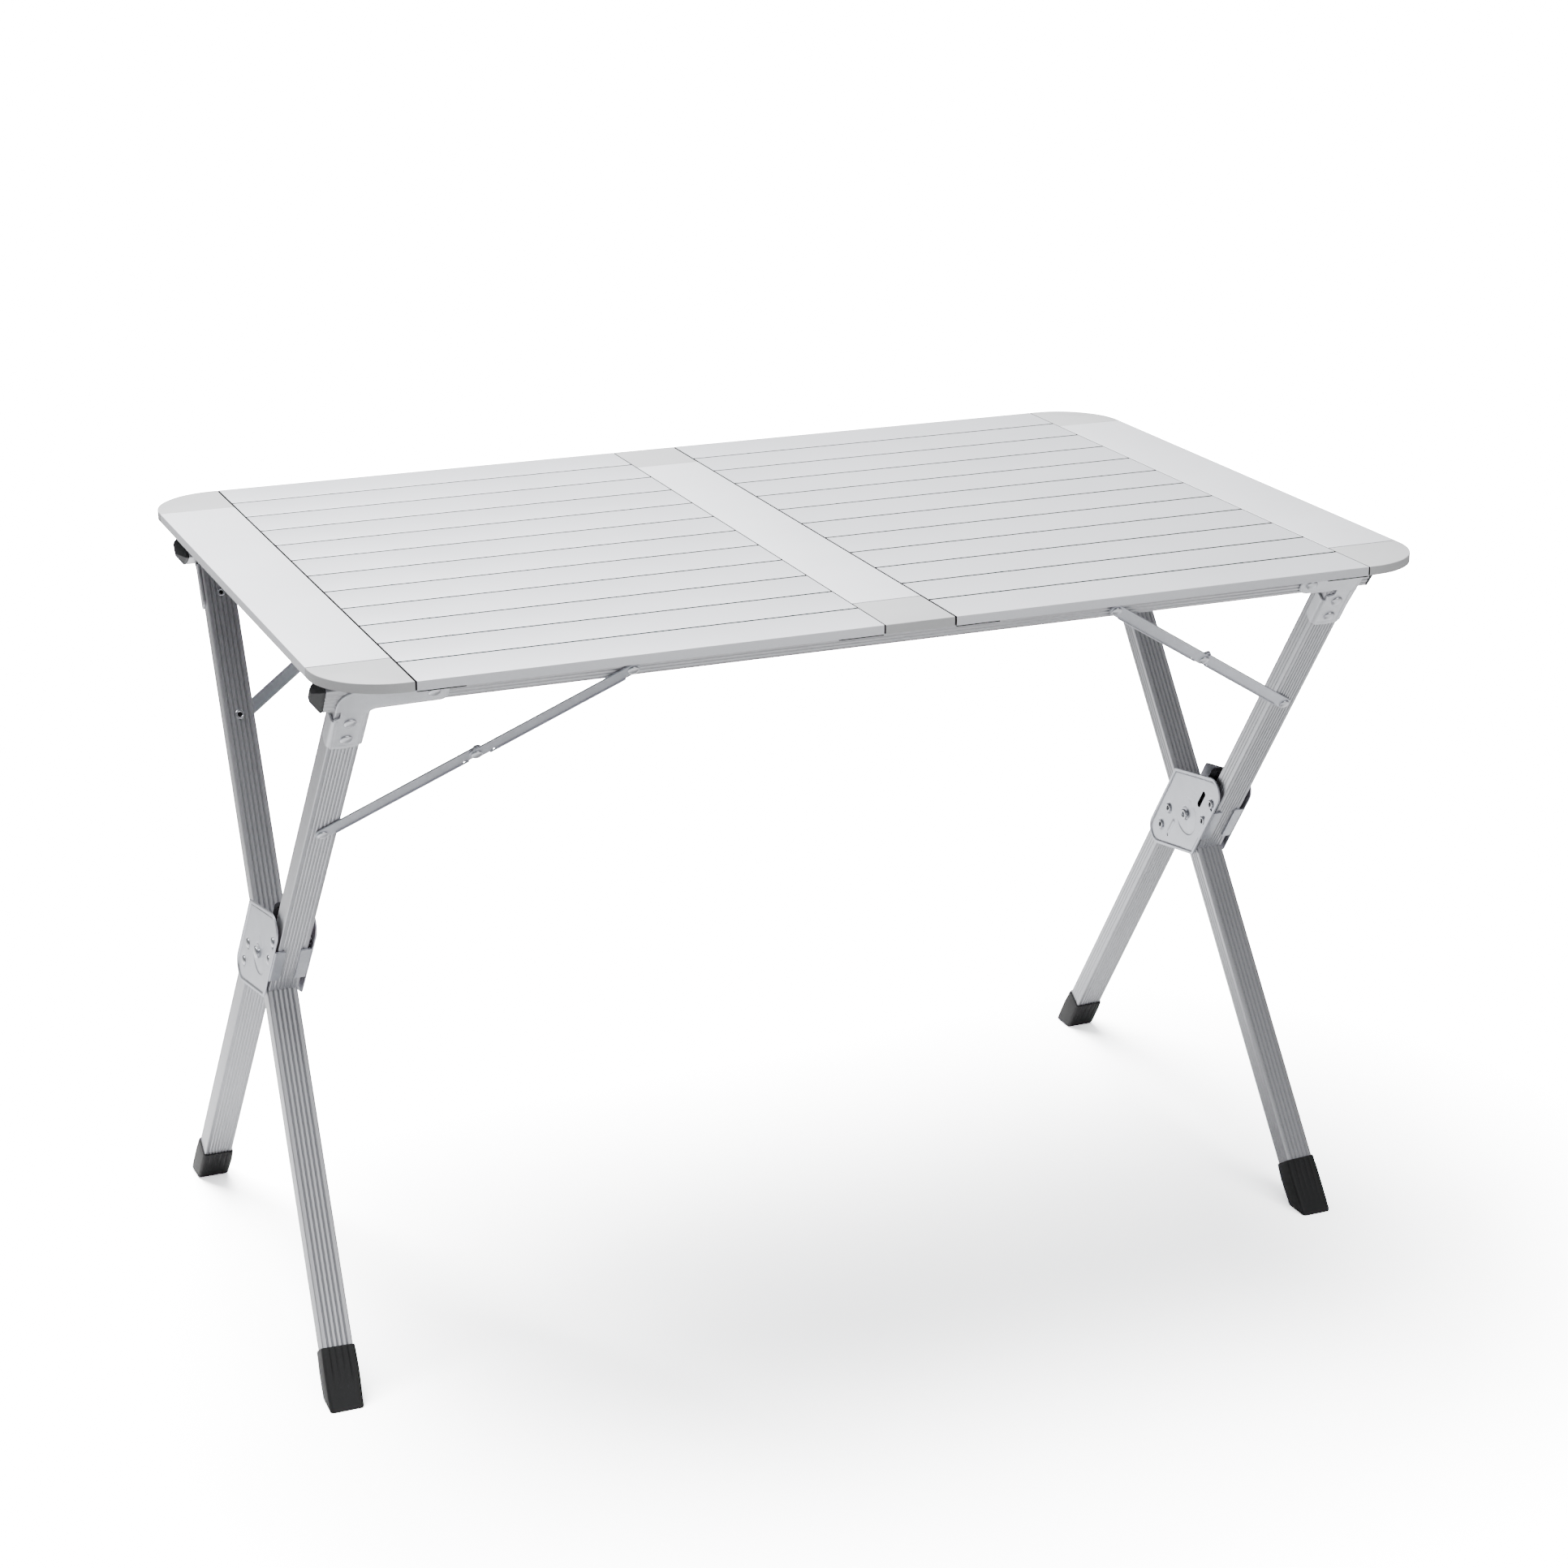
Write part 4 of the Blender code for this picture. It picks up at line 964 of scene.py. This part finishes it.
def plate_height(points, outline, inner):
    """Height over the back: a raised rim, a shallow dish round the pivot, a dimple under every rivet."""
    n, s = points[..., 0], points[..., 1]
    panel = PLATE_T - 0.0011
    margin = to_edge(points, outline)
    step = np.clip((margin - RIM_WIDTH) / 0.0008, 0, 1)
    high = panel + RIM_HIGH * (1 - step * step * (3 - 2 * step))
    high -= 0.0005 * ridge(margin - 0.0045, 0.0007)
    radius = np.sqrt((n + 0.0010) ** 2 + s**2)
    fade = np.clip((0.010 - n) / 0.014, 0, 1)
    disc = np.clip((radius - DISH_RADIUS) / 0.0009, 0, 1)
    high -= 0.0007 * fade * (1 - disc) * np.clip((radius - 0.006) / 0.0155, 0, 1) ** 2
    high -= 0.0005 * fade * ridge(radius - DISH_RADIUS, 0.0009)
    high -= 0.0004 * np.clip(n / 0.004, 0, 1) * ridge(radius - 0.0095, 0.0012)
    for rivet_n, rivet_s in RIVET_ROWS + ((0.0, 0.0),):
        around = np.sqrt((n - rivet_n) ** 2 + (s - rivet_s) ** 2)
        high -= 0.0006 * (1 - np.clip((around - DIMPLE_RADIUS) / 0.0010, 0, 1))
    if inner:
        along = np.clip(s, -0.050, -0.030)
        high += 0.0009 * ridge(np.sqrt((n - 0.0115) ** 2 + (s - along) ** 2), 0.0040)
    return np.maximum(high, 0.0002)


n_front = OFF_A_TOP - TUBE_T / 2 - GAP - PLATE_T
n_back = OFF_A_LOW + TUBE_T / 2 + 0.0008
n_span = n_back - n_front
plate_outline = even_outline(rounded([
    (n_front, PLATE_LOW), (n_back, PLATE_LOW - PLATE_SLOPE * n_span),
    (n_back, PLATE_HIGH), (n_front, PLATE_HIGH + PLATE_SLOPE * n_span),
], [0.003, PLATE_ROUND, 0.005, PLATE_ROUND], 12), 240)
print("plate", round(n_span * 1000, 1), "mm wide")


# %% Plates with flanges
def plate_shell(axes, turn, inner):
    """Rings of a plate: flat back, rounded edge, then the height field in to the middle."""
    centre = plate_outline.mean(axis=0)
    outward = plate_outline - centre
    outward /= np.linalg.norm(outward, axis=1)[:, None]
    insets = np.concatenate([[0.0004, 0.0, 0.0, 0.0003], np.linspace(0.0007, 0.0070, 20)])
    near = plate_outline - insets[:, None, None] * outward
    far = centre + (near[-1] - centre) * np.linspace(0.985, 0.004, 72)[:, None, None]
    grid = np.concatenate([near, far])
    high = plate_height(grid, plate_outline, inner)
    high[:4] = np.array([[0.0], [0.0004], [PLATE_T - 0.0010], [PLATE_T - 0.0006]])
    return place(axes, turn * (PLATE_IN + high), grid[..., 0], grid[..., 1])


def flange_shell(axes, turn):
    """A bent strip round the plate's front edge, its two ends rounded back a little."""
    back = np.array([0.0, 0.0004, 0.0015])
    stations = np.concatenate([FLANGE_LOW + back, (FLANGE_HIGH - back)[::-1]])
    free = FLANGE_EDGE + np.array([0.0016, 0.0006, 0.0, 0.0, 0.0006, 0.0016])
    out_w = PLATE_IN + PLATE_T - 0.0002
    rings = []
    for at, end in zip(stations, free):
        line = bent_strip([(end, n_front), (out_w, n_front), (out_w, n_front + 0.0075)], 0.0034, PLATE_T)
        rings.append(place(axes, turn * line[:, 0], line[:, 1], at))
    return np.stack(rings)


slot_half = SLOT_HALF + 0.0007
slot_cut = rounded([
    (SLOT_N - slot_half, SLOT_LOW), (SLOT_N + slot_half, SLOT_LOW),
    (SLOT_N + slot_half, SLOT_HIGH), (SLOT_N - slot_half, SLOT_HIGH),
], [slot_half - 0.0001] * 4)
hole_cut = arc(0.0115, -0.0545, 0.0020, 0, 2 * math.pi, 20)[:-1]
for side, side_name in SIDES:
    axes = leg_axes(side, "A")
    for turn, turn_name in ((side, "outer"), (-side, "inner")):
        inner = turn_name == "inner"
        tag = f"{turn_name}_{side_name}"
        shells = [plate_shell(axes, turn, inner), flange_shell(axes, turn)]
        piece = add_mesh(f"plate_{tag}_pressed", shells, STEEL_FINISH, smooth=28)
        if inner:
            depths = turn * (PLATE_IN + np.array([[-0.004], [0.006]]))
            punch(piece, [place(axes, depths, cut[:, 0], cut[:, 1]) for cut in (slot_cut, hole_cut)])
        dress(piece, "front_frame", "pressed_steel", f"plate_{tag}")
        for row, (n, s) in enumerate(RIVET_ROWS, 1):
            spot = place(axes, turn * (PLATE_IN + PLATE_T - 0.0018), n, s)
            rivet(f"plate_rivet_{row}_{tag}", "front_frame", spot, turn * axes[1],
                  "rolled" if inner else "dome", 0.0050, 0.0026)
print("plates done")

# %% [markdown]
# ## Pivot pins and saddles
# One pin at each crossing carries the whole joint. Its heads are drawn as one profile turned about X:
# a dome on the outside and a rolled end on the inside. The saddles between leg and plate keep their
# own solids, since only their thin edges can be seen, and they take the plated finish.

# %% Pins and saddles
reach_x = PLATE_IN + PLATE_T + 0.0005
for side, side_name in SIDES:
    shells = []
    for turn in (side, -side):
        spot = np.array([side * PIVOT_X + turn * reach_x, PIVOT_Y, PIVOT_Z])
        profile = dome(0.0064, 0.0024) if turn == side else rolled(0.0058, 0.0020)
        shells.append(turned(profile, spot, [turn, 0, 0], 40))
    shaft = np.array([(0.0030, -reach_x - 0.0002), (0.0030, reach_x + 0.0002)])
    shells.append(turned(shaft, [side * PIVOT_X, PIVOT_Y, PIVOT_Z], [1, 0, 0], 24))
    piece = add_mesh(f"pivot_pin_{side_name}", shells, RIVET_FINISH, smooth=50)
    dress(piece, "front_frame", "rivet_steel", f"pivot_{side_name}")
    for turn_name in ("outer", "inner"):
        saddle = frame["nodes"][f"saddle_{turn_name}_{side_name}"]
        for slot in saddle.material_slots:
            slot.material = STEEL_FINISH
print("pins done")

# %% [markdown]
# ## Lock levers
# A sprung black lever sits between the plates of each joint, behind the upper leg. A thumb pushes it
# along the leg, so its back carries grip ridges. It is one side profile carried across the width and
# drawn in on a quarter circle at both sides, so the moulding has no hard edge anywhere.

# %% Levers
n_lever = OFF_A_TOP + TUBE_T / 2 + 0.0008
GRIP_FROM, GRIP_PITCH, GRIP_DEEP = 0.062, 0.0038, 0.0006
LEVER_ROUND = 0.0042
lever_s = np.linspace(LEVER_LOW + 0.002, LEVER_HIGH - LEVER_SLANT - 0.006, 80)
grip = GRIP_DEEP * np.clip((lever_s - GRIP_FROM) / 0.004, 0, 1)
wave = grip * (0.5 - 0.5 * np.cos((lever_s - GRIP_FROM) / GRIP_PITCH * 2 * math.pi))
top_back, top_front = LEVER_HIGH - LEVER_SLANT, LEVER_HIGH
lever_line = np.concatenate([
    [[n_lever, LEVER_LOW]], [[n_lever + LEVER_T - 0.0015, LEVER_LOW]],
    np.stack([n_lever + LEVER_T - wave, lever_s], axis=-1),
    arc(n_lever + LEVER_T - 0.0045, top_back - 0.0046, 0.0045, 0, math.pi / 3.6, 6),
    arc(n_lever + 0.0030, top_front - 0.0035, 0.0030, math.pi / 3.6, math.pi, 6),
])
lever_line = even_outline(lever_line, 180)
lever_turn = np.roll(lever_line, -1, 0) - np.roll(lever_line, 1, 0)
lever_in = np.stack([-lever_turn[:, 1], lever_turn[:, 0]], axis=-1)
lever_in /= np.linalg.norm(lever_in, axis=1, keepdims=True)
bend = np.linspace(0, math.pi / 2, 7)
half_w = LEVER_HALF - LEVER_ROUND * (1 - np.sin(bend))
for side, side_name in SIDES:
    axes = leg_axes(side, "A")
    w = np.concatenate([-half_w[::-1], half_w])
    inset = LEVER_ROUND * (1 - np.cos(np.concatenate([bend[::-1], bend])))
    line = lever_line[None] + inset[:, None, None] * lever_in[None]
    rings = place(axes, w[:, None], line[..., 0], line[..., 1])
    piece = add_mesh(f"lock_lever_{side_name}_moulded", [rings], LEVER_FINISH, smooth=62)
    dress(piece, f"lever_{side_name}", "lever_plastic", f"lock_lever_{side_name}")
print("levers done")

# %% [markdown]
# ## Floor, light and camera
# A product is photographed on white with big soft lights, so its shadows fade within a hand's breadth.
# The world gives an even fill, one large lamp overhead gives the soft shadow, and two weak ones in front
# draw the edges of the tubes. The floor shines less away from the table, so that it doesn't light the
# legs from outside, and it glows for the camera only, so that it still looks white.

# %% Stage values
FLOOR_LIGHT, FLOOR_FAR, FLOOR_SEEN, GLOW_SEEN = 0.92, 0.38, 6.7, 22.0
GREY_FROM, GREY_TO = 0.6, 1.8
GLOW_FROM, GLOW_TO = 0.75, 2.6
SKY_LIGHT, SKY_SEEN = 0.34, 60.0
print("floor", FLOOR_SEEN, "sky", SKY_SEEN)


# %% Floor and world
def by_camera(tree, light_value, camera_value):
    """A number that differs for the camera's own rays; only the stage uses it."""
    path = tree.nodes.new("ShaderNodeLightPath")
    return span(tree, path.outputs["Is Camera Ray"], light_value, camera_value)


floor_mesh = bpy.data.meshes.new("floor")
floor_mesh.from_pydata([(-30, -30, 0), (30, -30, 0), (30, 30, 0), (-30, 30, 0)], [], [(0, 1, 2, 3)])
floor = bpy.data.objects.new("floor", floor_mesh)
bpy.context.scene.collection.objects.link(floor)
floor_paint = bpy.data.materials.new("studio_floor")
floor_paint.use_nodes = True
tree = floor_paint.node_tree
tree.nodes.remove(tree.nodes["Principled BSDF"])
coords, reach_of, matte, glow, seen, both = (tree.nodes.new(f"ShaderNode{kind}") for kind in (
    "TexCoord", "VectorMath", "BsdfDiffuse", "Emission", "Math", "AddShader"))
reach_of.operation, seen.operation = "LENGTH", "MULTIPLY"
radius = reach_of.outputs["Value"]
paint = by_camera(tree, FLOOR_LIGHT, FLOOR_SEEN)
for source, target in (
    (coords.outputs["Object"], reach_of.inputs[0]),
    (span(tree, radius, FLOOR_LIGHT, FLOOR_FAR, GREY_FROM, GREY_TO), paint.node.inputs["To Min"]),
    (paint, matte.inputs["Color"]),
    (span(tree, radius, 0.0, GLOW_SEEN, GLOW_FROM, GLOW_TO), seen.inputs[0]),
    (by_camera(tree, 0.0, 1.0), seen.inputs[1]),
    (seen.outputs["Value"], glow.inputs["Strength"]),
    (matte.outputs["BSDF"], both.inputs[0]),
    (glow.outputs["Emission"], both.inputs[1]),
    (both.outputs["Shader"], tree.nodes["Material Output"].inputs["Surface"]),
):
    tree.links.new(source, target)
floor_mesh.materials.append(floor_paint)

world = bpy.data.worlds.new("studio")
bpy.context.scene.world = world
world.use_nodes = True
sky = world.node_tree.nodes["Background"]
sky.inputs["Color"].default_value = (0.97, 0.985, 1.0, 1)
world.node_tree.links.new(by_camera(world.node_tree, SKY_LIGHT, SKY_SEEN), sky.inputs["Strength"])
print("stage ready")


# %% Lamps
def lamp(name, energy, size, spot, aim):
    """A square soft light at a place, aimed at a point."""
    data = bpy.data.lights.new(name, "AREA")
    data.energy, data.size = energy, size
    made = bpy.data.objects.new(name, data)
    bpy.context.scene.collection.objects.link(made)
    made.location = spot
    away = np.asarray(spot, float) - np.asarray(aim, float)
    yaw = math.atan2(away[1], away[0]) + math.pi / 2
    made.rotation_euler = (math.acos(away[2] / np.linalg.norm(away)), 0.0, yaw)


lamp("overhead", 400.0, 2.6, (-0.5, 0.8, 3.4), (0.0, 0.0, 0.5))
lamp("front", 40.0, 2.2, (0.4, -3.8, 2.2), (0.0, 0.0, 0.4))
lamp("low_front", 8.0, 1.5, (0.9, -2.8, 0.8), (-0.2, 0.0, 0.5))
print("lamps ready")

# %% Camera
camera_data = bpy.data.cameras.new("camera")
camera_data.lens = 74.4
camera_data.sensor_width = 36.0
camera_data.clip_end = 200.0
camera = bpy.data.objects.new("camera", camera_data)
bpy.context.scene.collection.objects.link(camera)
camera.location = (-1.199, -2.905, 1.580)
camera.rotation_euler = (math.pi / 2 - 0.3362, 0.0, -0.3963)
bpy.context.scene.camera = camera
